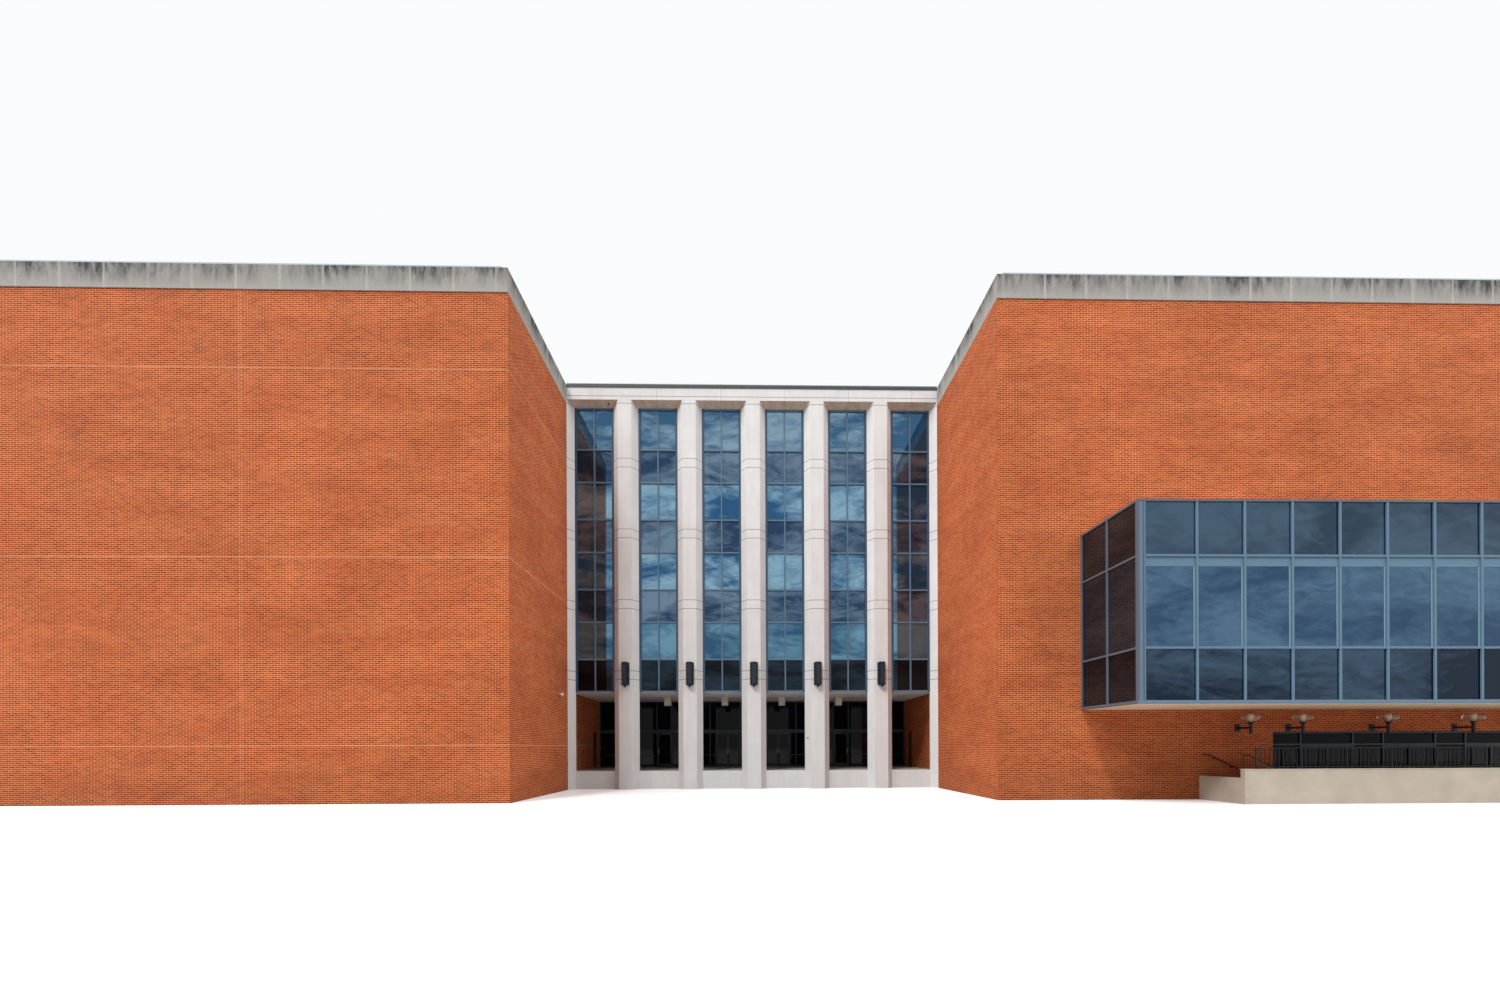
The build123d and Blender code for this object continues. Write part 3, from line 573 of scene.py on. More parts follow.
# %% The weathered coping
first_panel = court_half + 0.14
panel = joint_lines(coping, plane["Along"], first_panel, bay_pitch / 2, 0.022)
seam = joint_lines(coping, plane["Along"], first_panel, 2 * bay_pitch, 0.003)
washed = coping.times(panel, coping.ramp(short, -0.4, 1.2))
fine = coping.noise(plane["Place"], 34.0, 4.0)
grey = coping.blend(soot, rgb(164, 161, 156), rgb(44, 48, 51))
grey = coping.coat(grey, washed, 0.75, rgb(204, 200, 192))
grey = coping.coat(grey, seam, 0.6, rgb(84, 82, 78))
coping.set(Base_Color=coping.coat(grey, coping.ramp(fine, 0.4, 0.8), 0.3, rgb(120, 117, 110)))
coping.bump(coping.minus(fine, seam), 0.35, 0.004)
dress(coping, "wing_copings")

# %% [markdown]
# ## Metal edges
# The roofs of the wings end in a thin metal upstand that stands on the coping. The centre block
# ends in folded metal: a pale upper edge over a dark band. It replaces the plain solid, and is
# one folded profile carried along the front, and again along the rear.

# %% Painted metal
def painted_metal(name, colour, wear=0.12, roughness=0.42):
    """Painted metal: one colour, faded in soft patches, with a faint grain in its gloss."""
    paint = Finish(name, Roughness=roughness, Specular_IOR_Level=0.25)
    plane = paint.use(wall_plane)
    faded = paint.ramp(paint.noise(plane["Place"], 3.0, 4.0), 0.3, 0.75)
    share = paint.times(paint.plus(faded, rain(paint, 11.0, 0.1)), wear)
    pale = tuple(min(1.0, channel * 1.35 + 0.03) for channel in colour[:3]) + (1.0,)
    grain = paint.noise(plane["Place"], 25.0, 2.0)
    paint.set(Base_Color=paint.blend(share, colour, pale),
              Roughness=paint.times(paint.ramp(grain, -1.6, 2.6), roughness * 2))
    paint.bump(grain, 0.08, 0.001)
    print("paint", name)
    return paint


jamb_blue = painted_metal("jamb_blue", rgb(58, 76, 96))
bar_blue = painted_metal("bar_blue", rgb(89, 113, 133), 0.08)
edge_pale = painted_metal("edge_pale", rgb(156, 168, 176))
edge_dark = painted_metal("edge_dark", rgb(62, 66, 68), 0.3)
black_paint = painted_metal("black_paint", rgb(17, 19, 25), 0.04, 0.6)

# %% The metal edges
edge_y, edge_z, edge_deep = pier_y + 0.15, plaza + 10.54, 0.33
centre = (-court_half, court_half)
fascia = bars((edge_deep, 0.085, 0.004), "x", (edge_y, edge_z + 0.0425), centre)
capping = bars((edge_deep, 0.025, 0.006), "x", (edge_y, edge_z + 0.0975), centre)
piece("parapet_fascia", joined(fascia, at_rear(fascia)), edge_dark,
      replaces=["centre_copings"])
piece("parapet_capping", joined(capping, at_rear(capping)), edge_pale)

thin, tall, upstand_z = 0.02, 0.046, coping_top + 0.024
_, roof_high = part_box("wing_roofs")
roof_x = (court_half + 0.157, roof_high[0])
roof_y = (wing_front + 0.02, roof_high[1])
front_back = [bars((thin, tall), "x", (y, upstand_z), (roof_x[0] - thin, roof_x[1] + thin))
              for y in (roof_y[0] - thin / 2, roof_y[1] + thin / 2)]
left_right = [bars((tall, thin), "y", (upstand_z, x), roof_y)
              for x in (roof_x[0] - thin / 2, roof_x[1] + thin / 2)]
piece("wing_roof_edges", both_sides(joined(*front_back, *left_right)), edge_pale)

# %% [markdown]
# ## Coated glass
# From outside by day, office glass is not clear. A metal coating mirrors the daylight in blue and
# lets little else through: blinds and floors behind it only lift the tone of some rows. So the
# shader is mostly metal, and its colour is that of the coating. Each row has a deep and a pale
# tone, which also hold painted reflection of sky and trees, and soft noise, drawn out sideways,
# mixes them as a painted reflection of clouds.

# %% The coated glass
# painted reflection of clouds: soft noise drawn out sideways, in banks and wisps
cloud_reflection = Group("cloud_reflection", Size=1.0)
plane = cloud_reflection.use(wall_plane)
drawn_out = cloud_reflection.vector(cloud_reflection.times(plane["Along"], 0.42), plane["Up"])
banks = cloud_reflection.noise(drawn_out, cloud_reflection.given["Size"], 7.0, 0.6, 0.9)
wisps = cloud_reflection.noise(drawn_out, 3.4, 4.0, 0.65, 1.4)
mixed = cloud_reflection.plus(cloud_reflection.times(banks, 0.72), cloud_reflection.times(wisps, 0.28))
cloud_reflection.hand_out(Bank=cloud_reflection.ramp(mixed, 0.43, 0.58))


def coated_glass(name, rows, size, metallic):
    """Coated glass. Rows are (lowest height, deep tone, pale tone), from the bottom up."""
    glass = Finish(name, Roughness=0.035, Metallic=metallic, IOR=1.5)
    plane = glass.use(wall_plane)
    deep, pale = rows[0][1:]
    for low, row_deep, row_pale in rows[1:]:
        above = glass.math("GREATER_THAN", plane["Up"], low)
        deep, pale = glass.blend(above, deep, row_deep), glass.blend(above, pale, row_pale)
    # the share of the pale tone is a painted reflection of clouds
    reflection_share = glass.use(cloud_reflection, {"Size": size})["Bank"]
    glass.set(Base_Color=glass.blend(reflection_share, deep, pale))
    glass.bump(glass.noise(plane["Place"], 1.4, 1.0), 0.015, 0.02)
    return glass


# %% The rows of the curtain wall
# each row's tones are the coating and what lies behind it, partly with painted reflection of sky
# and trees
spandrel_row = (rgb(38, 62, 92), rgb(106, 130, 150))
vision_row = (rgb(40, 86, 126), rgb(130, 168, 188))
curtain_rows = [(0.0, rgb(24, 34, 44), rgb(62, 82, 98))]
for level in floors:
    curtain_rows += [(level - spandrel_half, *spandrel_row), (level + spandrel_half, *vision_row)]
# the spandrel row over the soffit is nearly black: painted shade
curtain_rows[1] = (soffit_z, rgb(8, 13, 18), rgb(34, 48, 60))
curtain_rows[2] = (first_floor + spandrel_half, rgb(44, 84, 114), rgb(102, 144, 166))
curtain_rows[-1] = (curtain_rows[-1][0], rgb(54, 92, 126), rgb(128, 158, 176))
dress(coated_glass("curtain_coated_glass", curtain_rows, 0.75, 0.80), "curtain_glass")

# %% [markdown]
# ## Curtain wall bars
# Each bay has two dark jambs against the piers, one pale mullion, and pale cross bars at the edges
# of the dark rows. The mullion is a box section with a narrower cap that clips on in front, so its
# section is stepped. The bars replace the plain solid frame.

# %% The bars of the curtain wall
bar, jamb = 0.04, 0.06
curtain_depth = 0.045
curtain_y = glass_y + curtain_depth / 2
cap, body, front = bar / 2 - 0.006, bar / 2, curtain_depth / 2
step = -front + 0.014
mullion_section = np.array([(-cap, -front), (cap, -front), (cap, step), (body, step),
                            (body, front), (-body, front), (-body, step), (-cap, step)])


def bay_jambs(low):
    """Two jambs in each bay: x = middle of the bay - and + half the window, less half a jamb."""
    x = bay_middles[:, None] + np.array([-1, 1]) * (window_half - jamb / 2)
    return bars((jamb, curtain_depth), "z", spots(x.ravel(), curtain_y), (low, head_z))


def bay_bars(rows):
    """Mullions, and cross bars on both sides of them at the given heights."""
    uprights = bars(mullion_section, "z", spots(bay_middles, curtain_y), (rows[0], rows[-1]))
    heights = np.array([rows[0] + bar / 2, *rows[1:-1], rows[-1] - bar / 2])
    halves = np.array([(-window_half + jamb, -bar / 2), (bar / 2, window_half - jamb)])
    spans = (bay_middles[:, None, None, None] + halves[:, None]).repeat(len(heights), 2)
    middles = spots(curtain_y, np.tile(heights, 2 * len(bay_middles)))
    return joined(uprights, bars((curtain_depth, bar), "x", middles, spans.reshape(-1, 2)))


edges = np.sort([*floors - spandrel_half, *floors + spandrel_half])
piece("curtain_jambs", joined(bay_jambs(soffit_z), at_rear(bay_jambs(plaza))), jamb_blue,
      replaces=["curtain_frames"])
curtain_bars = joined(bay_bars([*edges, head_z]), at_rear(bay_bars([plaza, *edges, head_z])))
piece("curtain_bars", curtain_bars, bar_blue)

# %% [markdown]
# ## Loggia
# Behind the piers the ground storey is open. Its ceiling is off-white board with fine joints, the
# floor is cast concrete, and four square lamps hang under the ceiling. A lamp is a pane box in a
# thin frame, so it is made of a frosted core and twelve edge bars.

# %% Boards, floors and roofs
def cast_finish(name, colour, dark, scale=5.0, joints=None, rough=0.85):
    """Cast or rolled surface: two tones in soft patches, grit, and optional joints.

    Joints are (first, pitch, width), and run both ways.
    """
    cast = Finish(name, Roughness=rough, Specular_IOR_Level=0.25)
    plane = cast.use(wall_plane)
    patches = cast.ramp(cast.noise(plane["Place"], scale, 5.0), 0.35, 0.7)
    grit = cast.noise(plane["Place"], 45.0)
    shade = cast.blend(patches, colour, dark)
    shade = cast.coat(shade, cast.ramp(grit, 0.4, 0.8), 0.25, dark)
    height = cast.times(grit, 0.3)
    if joints:
        joint = cast.most(*[joint_lines(cast, plane[way], *joints) for way in ("Along", "Up")])
        shade = cast.coat(shade, joint, 0.5, rgb(90, 88, 84))
        height = cast.minus(height, joint)
    cast.set(Base_Color=shade)
    cast.bump(height, 0.3, 0.003)
    return cast


board = cast_finish("soffit_board", rgb(242, 242, 242), rgb(228, 227, 226), 2.0,
                    (0.0, bay_pitch / 2, 0.003))
concrete = cast_finish("cast_concrete", rgb(172, 167, 158), rgb(152, 147, 139), 2.4,
                       (0.0, bay_pitch, 0.004))
court_concrete = cast_finish("court_concrete", rgb(198, 186, 171), rgb(182, 170, 156), 2.0)
# the box's underside: beige board, made paler than its own colour as painted bounce light from the
# paving
beige_board_painted_bounce = cast_finish("beige_board_painted_bounce", rgb(234, 208, 176), rgb(220, 192, 158), 1.2,
                          (box_left, bay_pitch, 0.003))
membrane = cast_finish("roof_membrane", rgb(152, 150, 145), rgb(138, 136, 131), 0.8,
                       (0.0, 1.5, 0.006), 0.95)
dress(board, "loggia_soffit")
dress(concrete, "ground_floor", "upper_floors", "wing_floors", "box_level_floor",
      "sunken_floor", "entry_sill", "box_roof")
dress(court_concrete, "entry_stair", "court_wall", "court_end_wall")
dress(beige_board_painted_bounce, "box_floor")
dress(membrane, "centre_roof", "wing_roofs")


# %% Ceiling lamps
def graded(finish, low, high, foot, top):
    """Colours a finish from its foot to its top, between two heights."""
    share = finish.ramp(finish.use(wall_plane)["Up"], low, high)
    finish.set(Base_Color=finish.blend(share, foot, top))
    return finish


lamp_size, edge = 0.2, 0.012
lamp_low, lamp_y = soffit_z - 0.25, pier_y + 1.95
lamp_x = np.array([-1.5, -0.5, 0.5, 1.5]) * bay_pitch
frosted = graded(Finish("frosted_pane", Roughness=0.5), lamp_low, soffit_z,
                 rgb(226, 220, 202), rgb(202, 196, 180))
core = (lamp_size - 0.016, lamp_size - 0.016, 0.004)
piece("lamp_panes", bars(core, "z", spots(lamp_x, lamp_y), (lamp_low + 0.004, soffit_z)),
      frosted, replaces=["ceiling_lamps"])
slim = (edge, edge, 0.002)
out, inside = (lamp_size - edge) / 2, lamp_size / 2 - edge
lamp_edges = [bars(slim, "z", spots(lamp_x + x * out, lamp_y + y * out), (lamp_low, soffit_z))
              for x, y in ((-1, -1), (1, -1), (1, 1), (-1, 1))]
for side in (-out, out):
    for level in (lamp_low + edge / 2, soffit_z - edge / 2):
        lamp_edges += [
            bars(slim, "x", (lamp_y + side, level), spots(lamp_x - inside, lamp_x + inside)),
            bars(slim, "y", spots(level, lamp_x + side), (lamp_y - inside, lamp_y + inside)),
        ]
lamp_frame = painted_metal("lamp_frame", rgb(196, 188, 168))
piece("lamp_frames", joined(*lamp_edges), lamp_frame)

# %% [markdown]
# ## Entrance wall
# At the back of the loggia stands a wall of dark bars and dark glass. The lobby behind it is in
# shade, and the soffit shades the wall. The glass is nearly black: its deep tint and weak
# reflection are partly painted shade. It is clear, so a little of the lobby shows through, and more
# when a door stands open.

# %% Tinted glass
def tinted_glass(name, deep, pale, mirror):
    """Dark see-through glass of two tones in slow patches; mirror sets how much it reflects."""
    glass = Finish(name, Roughness=0.03, IOR=1.25, Specular_IOR_Level=mirror,
                   Transmission_Weight=0.4)
    slow = glass.noise(glass.use(wall_plane)["Place"], 1.3, 2.0)
    glass.set(Base_Color=glass.blend(glass.ramp(slow, 0.3, 0.7), deep, pale))
    return glass


# near-black tint and weak reflection: partly painted shade of the soffit
tinted = tinted_glass("tinted_glass", rgb(16, 20, 27), rgb(24, 30, 38), 0.2)
dress(tinted, "entrance_glass")
dress(tinted_glass("entry_tint", rgb(9, 11, 13), rgb(15, 18, 21), 0.05), "entry_glass")

# %% Entrance bars
slate = painted_metal("slate_bars", rgb(38, 45, 54))
pair_post, short_post, single_post = 0.43, 1.25, 2.705       # from the middle, on both sides
tall = np.array([pair_post, 1.44, single_post, 3.21, 4.15, court_half - bar / 2])
tall = np.array([*-tall[::-1], *tall])
short = np.array([-short_post, short_post])
doorway = 1.128
door_head, door_head_bar = plaza + doorway, 0.127
wall_depth = 0.06
wall_middle = entrance_y + wall_depth / 2


def upright_bars(places, low, high):
    """Posts of the entrance wall: x = each of the places, y = the middle of the wall."""
    return bars((bar, wall_depth, 0.004), "z", spots(places, wall_middle), (low, high))


def rails_between(places, low, height, keep=slice(None)):
    """Rails between neighbouring posts, or between those to keep."""
    return bars((wall_depth, height, 0.004), "x", (wall_middle, low + height / 2),
                between(places, bar / 2)[keep])


every = np.sort([*tall, *short])
near = np.minimum(np.abs(every[:-1]), np.abs(every[1:]))
is_door = (every[:-1] * every[1:] > 0) & (
    np.isclose(near, pair_post) | np.isclose(near, single_post))
entrance_wall = joined(
    upright_bars(tall, plaza, soffit_z), upright_bars(short, plaza, door_head),
    rails_between(tall, door_head, door_head_bar), rails_between(tall, soffit_z - bar, bar),
    rails_between(every, plaza, 0.05, ~is_door),
    rails_between(every, plaza + 0.385, 0.03, ~is_door),
)
piece("entrance_bars", entrance_wall, slate,
      replaces=["entrance_posts", "entrance_rails"])

# %% [markdown]
# ## Door leaves
# A glazed leaf is four bars round a pane, with a flat pull on stand-offs and pins at the hinge
# edge. It is drawn once on a sheet of its own, with u from the hinge edge, d outwards and z up, and
# then set on the building, so that left, right and side doors share one drawing. Each leaf rides
# on its own body, because it turns.

# %% Parts of a leaf
leaf_thick, stile, foot_rail = 0.022, 0.045, 0.11
foot_gap, top_gap = 0.008, 0.006


def set_on(shape, origin, width_way, out_way):
    """Place = origin + u times the width's way + d times the way out + z upwards."""
    points, faces = shape
    ways = np.array([width_way, out_way, (0, 0, 1)], float)
    return points @ ways + np.array(origin), faces


def leaf_pull(width):
    """A flat vertical bar with rounded edges on two short stand-offs."""
    x = width - 0.03
    grip = bars((0.016, 0.008, 0.002), "z", (x, 0.044), (0.44, 0.60))
    stands = bars((0.008, 0.014, 0.002), "y", spots([0.52 - 0.0533, 0.52 + 0.0533], x), (0, 0.04))
    return joined(grip, stands)


def leaf_pins(height):
    """The pivots at the foot and the top of the hinge edge."""
    wide, narrow = 0.004, 0.0035
    foot = [(narrow, -0.0077), (wide, -0.007), (wide, 0.0), (narrow, 0.06)]
    top = [(narrow, height - 0.06), (wide, height), (wide, height + 0.005),
           (narrow, height + 0.0057)]
    return joined(lathe(foot, (0, 0, 0), 12), lathe(top, (0, 0, 0), 12))


def leaf_bars(width, height):
    """Stiles, top rail, a deep bottom rail with its kick plate, and a push bar at mid height."""
    middle, clear = -leaf_thick / 2, (stile, width - stile)
    return joined(
        bars((stile, leaf_thick), "z", spots([stile / 2, width - stile / 2], middle), (0, height)),
        bars((leaf_thick, stile), "x", (middle, height - stile / 2), clear),
        bars((leaf_thick, foot_rail), "x", (middle, foot_rail / 2), clear),
        bars((0.003, foot_rail - 0.03, 0.001), "x", (0.0015, foot_rail / 2), clear),
        bars((0.012, 0.03), "x", (-leaf_thick - 0.012, 0.5), (0.02, width - 0.02)),
    )


def pane(width, height):
    """The glass between the stiles, from the bottom rail to the top rail."""
    tall = height - stile - foot_rail
    return bars((0.006, tall, 0.001), "x", (-leaf_thick / 2, foot_rail + tall / 2),
                (stile, width - stile))


# %% The glazed leaves
steel = painted_metal("brushed_pull", rgb(150, 154, 158), 0.2, 0.3)
leaf_height = doorway - top_gap - foot_gap
for side, way in (("left", -1), ("right", 1)):
    for kind, hinge, turn_way in (("inner", 0.456, 1), ("outer", 1.224, -1), ("single", 2.731, 1)):
        node = f"{side}_{kind}_door"
        low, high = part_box(node)
        width = high[0] - low[0] - 0.004
        where = ((way * hinge, entrance_y, plaza + foot_gap), (way * turn_way, 0, 0), (0, -1, 0))
        framed = joined(leaf_bars(width, leaf_height), leaf_pins(leaf_height))
        piece(f"{node}_bars", set_on(framed, *where), slate, node, [node])
        piece(f"{node}_pane", set_on(pane(width, leaf_height), *where), tinted,
              node)
        piece(f"{node}_pull", set_on(leaf_pull(width), *where), steel, node)

# %% [markdown]
# The doors in the brick sides of the loggia are plain dark metal. Two raised fields and a kick
# plate keep them from looking like a board, and a thin metal sill lies under each.

# %% The side doors
door_brown = painted_metal("door_brown", rgb(46, 34, 30), 0.15)
side_width, side_height = 0.425 - 0.012, 1.15 - 0.014
for side, way in (("left", 1), ("right", -1)):
    node = f"{side}_side_door"
    hinge = (-way * (court_half + 0.03), pier_y + 2.556, plaza + foot_gap)
    where = (hinge, (0, 1, 0), (way, 0, 0))
    face = (side_width / 2, 0.001)
    whole = joined(
        bars((side_width, leaf_thick), "z", (side_width / 2, -leaf_thick / 2), (0, side_height)),
        bars((side_width - 0.12, 0.004, 0.0015), "z", face,
             [(0.16, 0.50), (0.56, side_height - 0.08)]),
        bars((side_width - 0.03, 0.003, 0.001), "z", face, (0.015, 0.12)),
        leaf_pins(side_height),
    )
    piece(f"{node}_slab", set_on(whole, *where), door_brown, node, [node])
    piece(f"{node}_pull", set_on(leaf_pull(side_width), *where), steel, node)
sill_plate = bars((0.003, 0.2, 0.001), "y", (plaza + 0.0015, court_half + 0.1),
                  (pier_y + 2.566, pier_y + 2.975))
piece("side_door_sills", both_sides(sill_plate), steel)

# %% [markdown]
# ## The glazed box
# The right wing carries a long glazed box. Its front has slim uprights at half a bay pitch and two
# cross rails. Its corner is a pale post set back between two dark frames. In the tall middle row a
# second, paler frame shows just behind the bars: a band under the rail and a strip at one side.

# %% Bars of the box
box_z = (plaza + 1.4, plaza + 5.1)
box_rails = (plaza + 2.41, plaza + 4.08)
rail, sill_high, corner = 0.04, 0.06, 0.145
mullions = box_left + box_margin + np.arange(10) * bay_pitch / 2
front_middle = box_front + box_depth / 2
box_length = (box_left, box_right)
box_upright = (box_z[0] + sill_high, box_z[1] - rail)
box_spans = between(np.array([box_left + corner - rail / 2, *mullions,
                              box_right - corner + rail / 2]), rail / 2)
box_bars = joined(
    bars((rail, box_depth), "z", spots(mullions, front_middle), box_upright),
    *[bars((box_depth, rail), "x", (front_middle, level), box_spans) for level in box_rails],
    bars((box_depth, sill_high, 0.004), "x", (front_middle, box_z[0] + sill_high / 2), box_length),
)
piece("box_bars", box_bars, bar_blue, replaces=["box_frames"])

# %% Corners and ends of the box
side_span = (box_front + box_depth, wing_front)
sides = np.array([side_span[0] + rail / 2, np.mean(side_span), side_span[1] - rail / 2])
header = bars((box_depth, rail, 0.004), "x", (front_middle, box_z[1] - rail / 2), box_length)
dark_frames, pale_posts = [header], []
for edge_x, way in ((box_left, 1), (box_right, -1)):
    for frames, first, last, cut, set_back in (
            (dark_frames, 0, 0.03, 0.003, 0), (dark_frames, 0.108, 0.12, 0.002, 0),
            (pale_posts, 0.031, 0.107, 0.004, 0.004), (pale_posts, 0.121, corner, 0.003, 0)):
        size = (last - first, box_depth - 2 * set_back, cut)
        middle = (edge_x + way * (first + last) / 2, front_middle + set_back)
        frames.append(bars(size, "z", middle, box_upright))
    x = edge_x + way * box_depth / 2
    dark_frames.append(bars((box_depth, rail), "z", spots(x, sides), box_upright))
    for level in box_rails:
        dark_frames.append(bars((rail, box_depth), "y", (level, x), between(sides, rail / 2)))
    for level, height in ((box_z[0] + sill_high / 2, sill_high), (box_z[1] - rail / 2, rail)):
        dark_frames.append(bars((height, box_depth), "y", (level, x), side_span))
frame_grey = painted_metal("frame_grey", rgb(84, 88, 97), 0.08)
piece("box_dark_frames", joined(*dark_frames), frame_grey)
piece("box_corner_posts", joined(*pale_posts), bar_blue)

# %% The second frames and the glass of the box
band_blue = painted_metal("band_blue", rgb(88, 118, 138), 0.05)
strip_blue = painted_metal("strip_blue", rgb(112, 144, 160), 0.05)
band_high, strip_thick = 0.17, 0.006
strip_y = box_front + box_depth - strip_thick / 2
row_foot, row_top = box_rails[0] + rail / 2, box_rails[1] - rail / 2
bands = bars((strip_thick, band_high, 0.001), "x", (strip_y, row_top - band_high / 2), box_spans)
strips = bars((0.030, strip_thick, 0.001), "z", spots(box_spans[:, 1] - 0.021, strip_y),
              (row_foot, row_top - band_high))
piece("box_inner_bands", bands, band_blue)
piece("box_inner_strips", strips, strip_blue)

# row tones partly painted reflection: the lowest row is darkened by reflected trees
box_rows = [(0.0, rgb(30, 42, 56), rgb(64, 84, 104)),
            (box_rails[0], rgb(52, 78, 106), rgb(84, 113, 139)),
            (box_rails[1], rgb(50, 67, 84), rgb(72, 93, 112))]
dress(coated_glass("box_coated_glass", box_rows, 0.55, 0.92), "box_glass")

# %% [markdown]
# ## The sunken entry
# Under the box a row of fixed lights and pairs of doors stands below the plaza. The pattern is a
# light, then a pair, three times, and a last light. The doors of a pair meet at two slim stiles.

# %% Bars of the sunken entry
post, entry_deep = 0.034, 0.06
entry_y = wing_front + 0.09
entry_edges = 11.01 + np.cumsum([0] + [0.665, 1.15] * 3)
entry_edges = np.append(entry_edges, opening_right)
entry_head, entry_transom, entry_low = plaza + 0.93, plaza + 0.64, 0.05
places = np.array([entry_edges[0] + post / 2, *entry_edges[1:-1], entry_edges[-1] - post / 2])
pairs = (entry_edges[1:-1:2] + entry_edges[2::2]) / 2
entry_spans = between(places, post / 2)


def beside_pairs(distance):
    """A place on each side of the middle of each pair of doors."""
    return (pairs[:, None] + np.array([-distance, distance])).ravel()


sunken_bars = joined(
    bars((post, entry_deep), "z", spots(places, entry_y), (entry_low, entry_head)),
    bars((0.016, entry_deep, 0.002), "z", spots(beside_pairs(0.0085), entry_y),
         (entry_low, entry_transom)),
    *[bars((entry_deep, post), "x", (entry_y, level), entry_spans)
      for level in (entry_head - post / 2, entry_transom + post / 2)],
    bars((entry_deep, 0.05), "x", (entry_y, entry_low + 0.025), entry_spans[::2]),
)
piece("sunken_bars", sunken_bars, slate, replaces=["entry_posts", "entry_rails"])

# %% Rails and pulls of the sunken doors
leaves = np.sort([*beside_pairs(0.0175), *entry_spans[1::2].ravel()]).reshape(-1, 2)
rails = [bars((0.05, height, 0.003), "x", (entry_y, level), leaves)
         for level, height in ((entry_low + 0.045, 0.09), (entry_transom - 0.02, 0.04),
                               (entry_low + 0.52, 0.025))]
piece("sunken_door_rails", joined(*rails), slate)
grips, grip_y = beside_pairs(0.045), wing_front + 0.02
pulls = [bars((0.012, 0.01), "z", spots(grips, grip_y), (entry_low + 0.42, entry_low + 0.60))]
pulls += [bars((0.01, 0.01, 0.002), "y", spots(level, grips), (grip_y, wing_front + 0.062))
          for level in (entry_low + 0.45, entry_low + 0.57)]
piece("sunken_pulls", joined(*pulls), steel)

# %% [markdown]
# ## Railings
# The court's wall carries a black steel guard rail: a flat top rail, a lower rail, square
# balusters and stouter posts on foot plates. Round hand rails run level over the landing and then
# down with the stair. The stair's nosings are thin dark strips let into the treads.

# %% Guard rail
court_front = wing_front - 1.1
guard_y = court_front + 0.05
guard_left, guard_right = 9.67, opening_right - 0.02
guard_foot, guard_top = plaza + 0.18, plaza + 0.595
under_rail = guard_top - 0.018
count = round((guard_right - guard_left) / 0.09)
places = spots(np.linspace(guard_left + 0.01, guard_right - 0.01, count + 1), guard_y)
is_post = np.isin(np.arange(count + 1), np.round(np.arange(9) / 8 * count))
guard_railing = joined(
    bars((0.009, 0.009, 0.001), "z", places[~is_post], (guard_foot + 0.05, under_rail)),
    bars((0.02, 0.02, 0.002), "z", places[is_post], (guard_foot, under_rail)),
    bars((0.05, 0.05, 0.004), "z", places[is_post], (guard_foot, guard_foot + 0.006)),
    bars((0.024, 0.018, 0.004), "x", (guard_y, guard_top - 0.009), (guard_left, guard_right)),
    bars((0.018, 0.02), "x", (guard_y, guard_foot + 0.04), (guard_left, guard_right)),
)
piece("guard_railing", guard_railing, black_paint, replaces=["guard_rail"])

# %% The way of a hand rail
stair_start, tread, risers = 9.6, 0.17, 6
rise = plaza / risers
slope = rise / tread
rail_top, rail_end = plaza + 0.45, stair_start + 5 * tread + 0.06
wall_bend, court_bend = 9.57, 9.63


def hand_rail(y, start, bend):
    """Level to the bend, then down at the stair's slope, with the bend eased over three points."""
    ease = 0.03
    x = np.array([start, bend - ease, bend - ease / 3, bend + ease / 3, bend + ease, rail_end])
    past = np.array([0, 0, 0.06 * ease, 0.35 * ease, ease, rail_end - bend])
    return tube(spots(x, y, rail_top - past * slope), 0.012)


def rail_height(x, bend):
    """Height of a hand rail: its top, less the slope times the way past the bend."""
    return rail_top - max(0.0, x - bend) * slope


# %% Hand rails
wall_y, court_y = wing_front - 0.06, court_front + 0.16
stair_rails = [hand_rail(wall_y, 9.43, wall_bend), hand_rail(court_y, 9.515, court_bend)]
for share in (0.15, 0.55, 0.9):
    x = wall_bend + share * (rail_end - wall_bend)
    bracket = (rail_height(x, wall_bend) - 0.008, x)
    stair_rails.append(bars((0.012, 0.012, 0.002), "y", bracket, (wall_y, wing_front)))
    stair_rails.append(bars((0.04, 0.04, 0.006), "y", bracket, (wing_front - 0.006, wing_front)))
court_middle = (court_bend + rail_end) / 2
step_level = plaza - ((court_middle - stair_start) // tread + 1) * rise
for x, foot in ((9.527, plaza), (court_middle, step_level), (rail_end - 0.012, 0.0)):
    stair_rails.append(bars((0.018, 0.018), "z", (x, court_y), (foot, rail_height(x, court_bend))))
    stair_rails.append(bars((0.05, 0.05, 0.004), "z", (x, court_y), (foot, foot + 0.005)))
piece("stair_rails", joined(*stair_rails), black_paint, replaces=["hand_rails"])

# %% Nosings and the capping of the court's wall
steps = np.arange(risers)
nosing_x = stair_start + np.maximum(steps - 1, 0) * tread + np.where(steps == 0, -0.03, 0.14)
nosing_z = plaza - steps * rise + 0.0008
nosings = bars((0.9, 0.0022, 0.0005), "x", spots((court_front + 0.1 + wing_front) / 2, nosing_z),
               spots(nosing_x, nosing_x + 0.018))
piece("stair_nosings", nosings, black_paint)
cap_wall = bars((0.116, 0.02, 0.004), "x", (guard_y, guard_foot - 0.009), (9.407, opening_right))
capping_finish = cast_finish("court_capping_finish", rgb(206, 196, 182), rgb(176, 166, 152), 4.0)
piece("court_capping", cap_wall, capping_finish)

# %% [markdown]
# ## Lamps
# Flat glass globes stand on black posts, each held off the wall by an arm. Their glass is slightly
# smoky and shows the lamp inside. The lanterns on the piers are black and faceted, with a paler
# front facet, cut lower corners, and a small tip below.

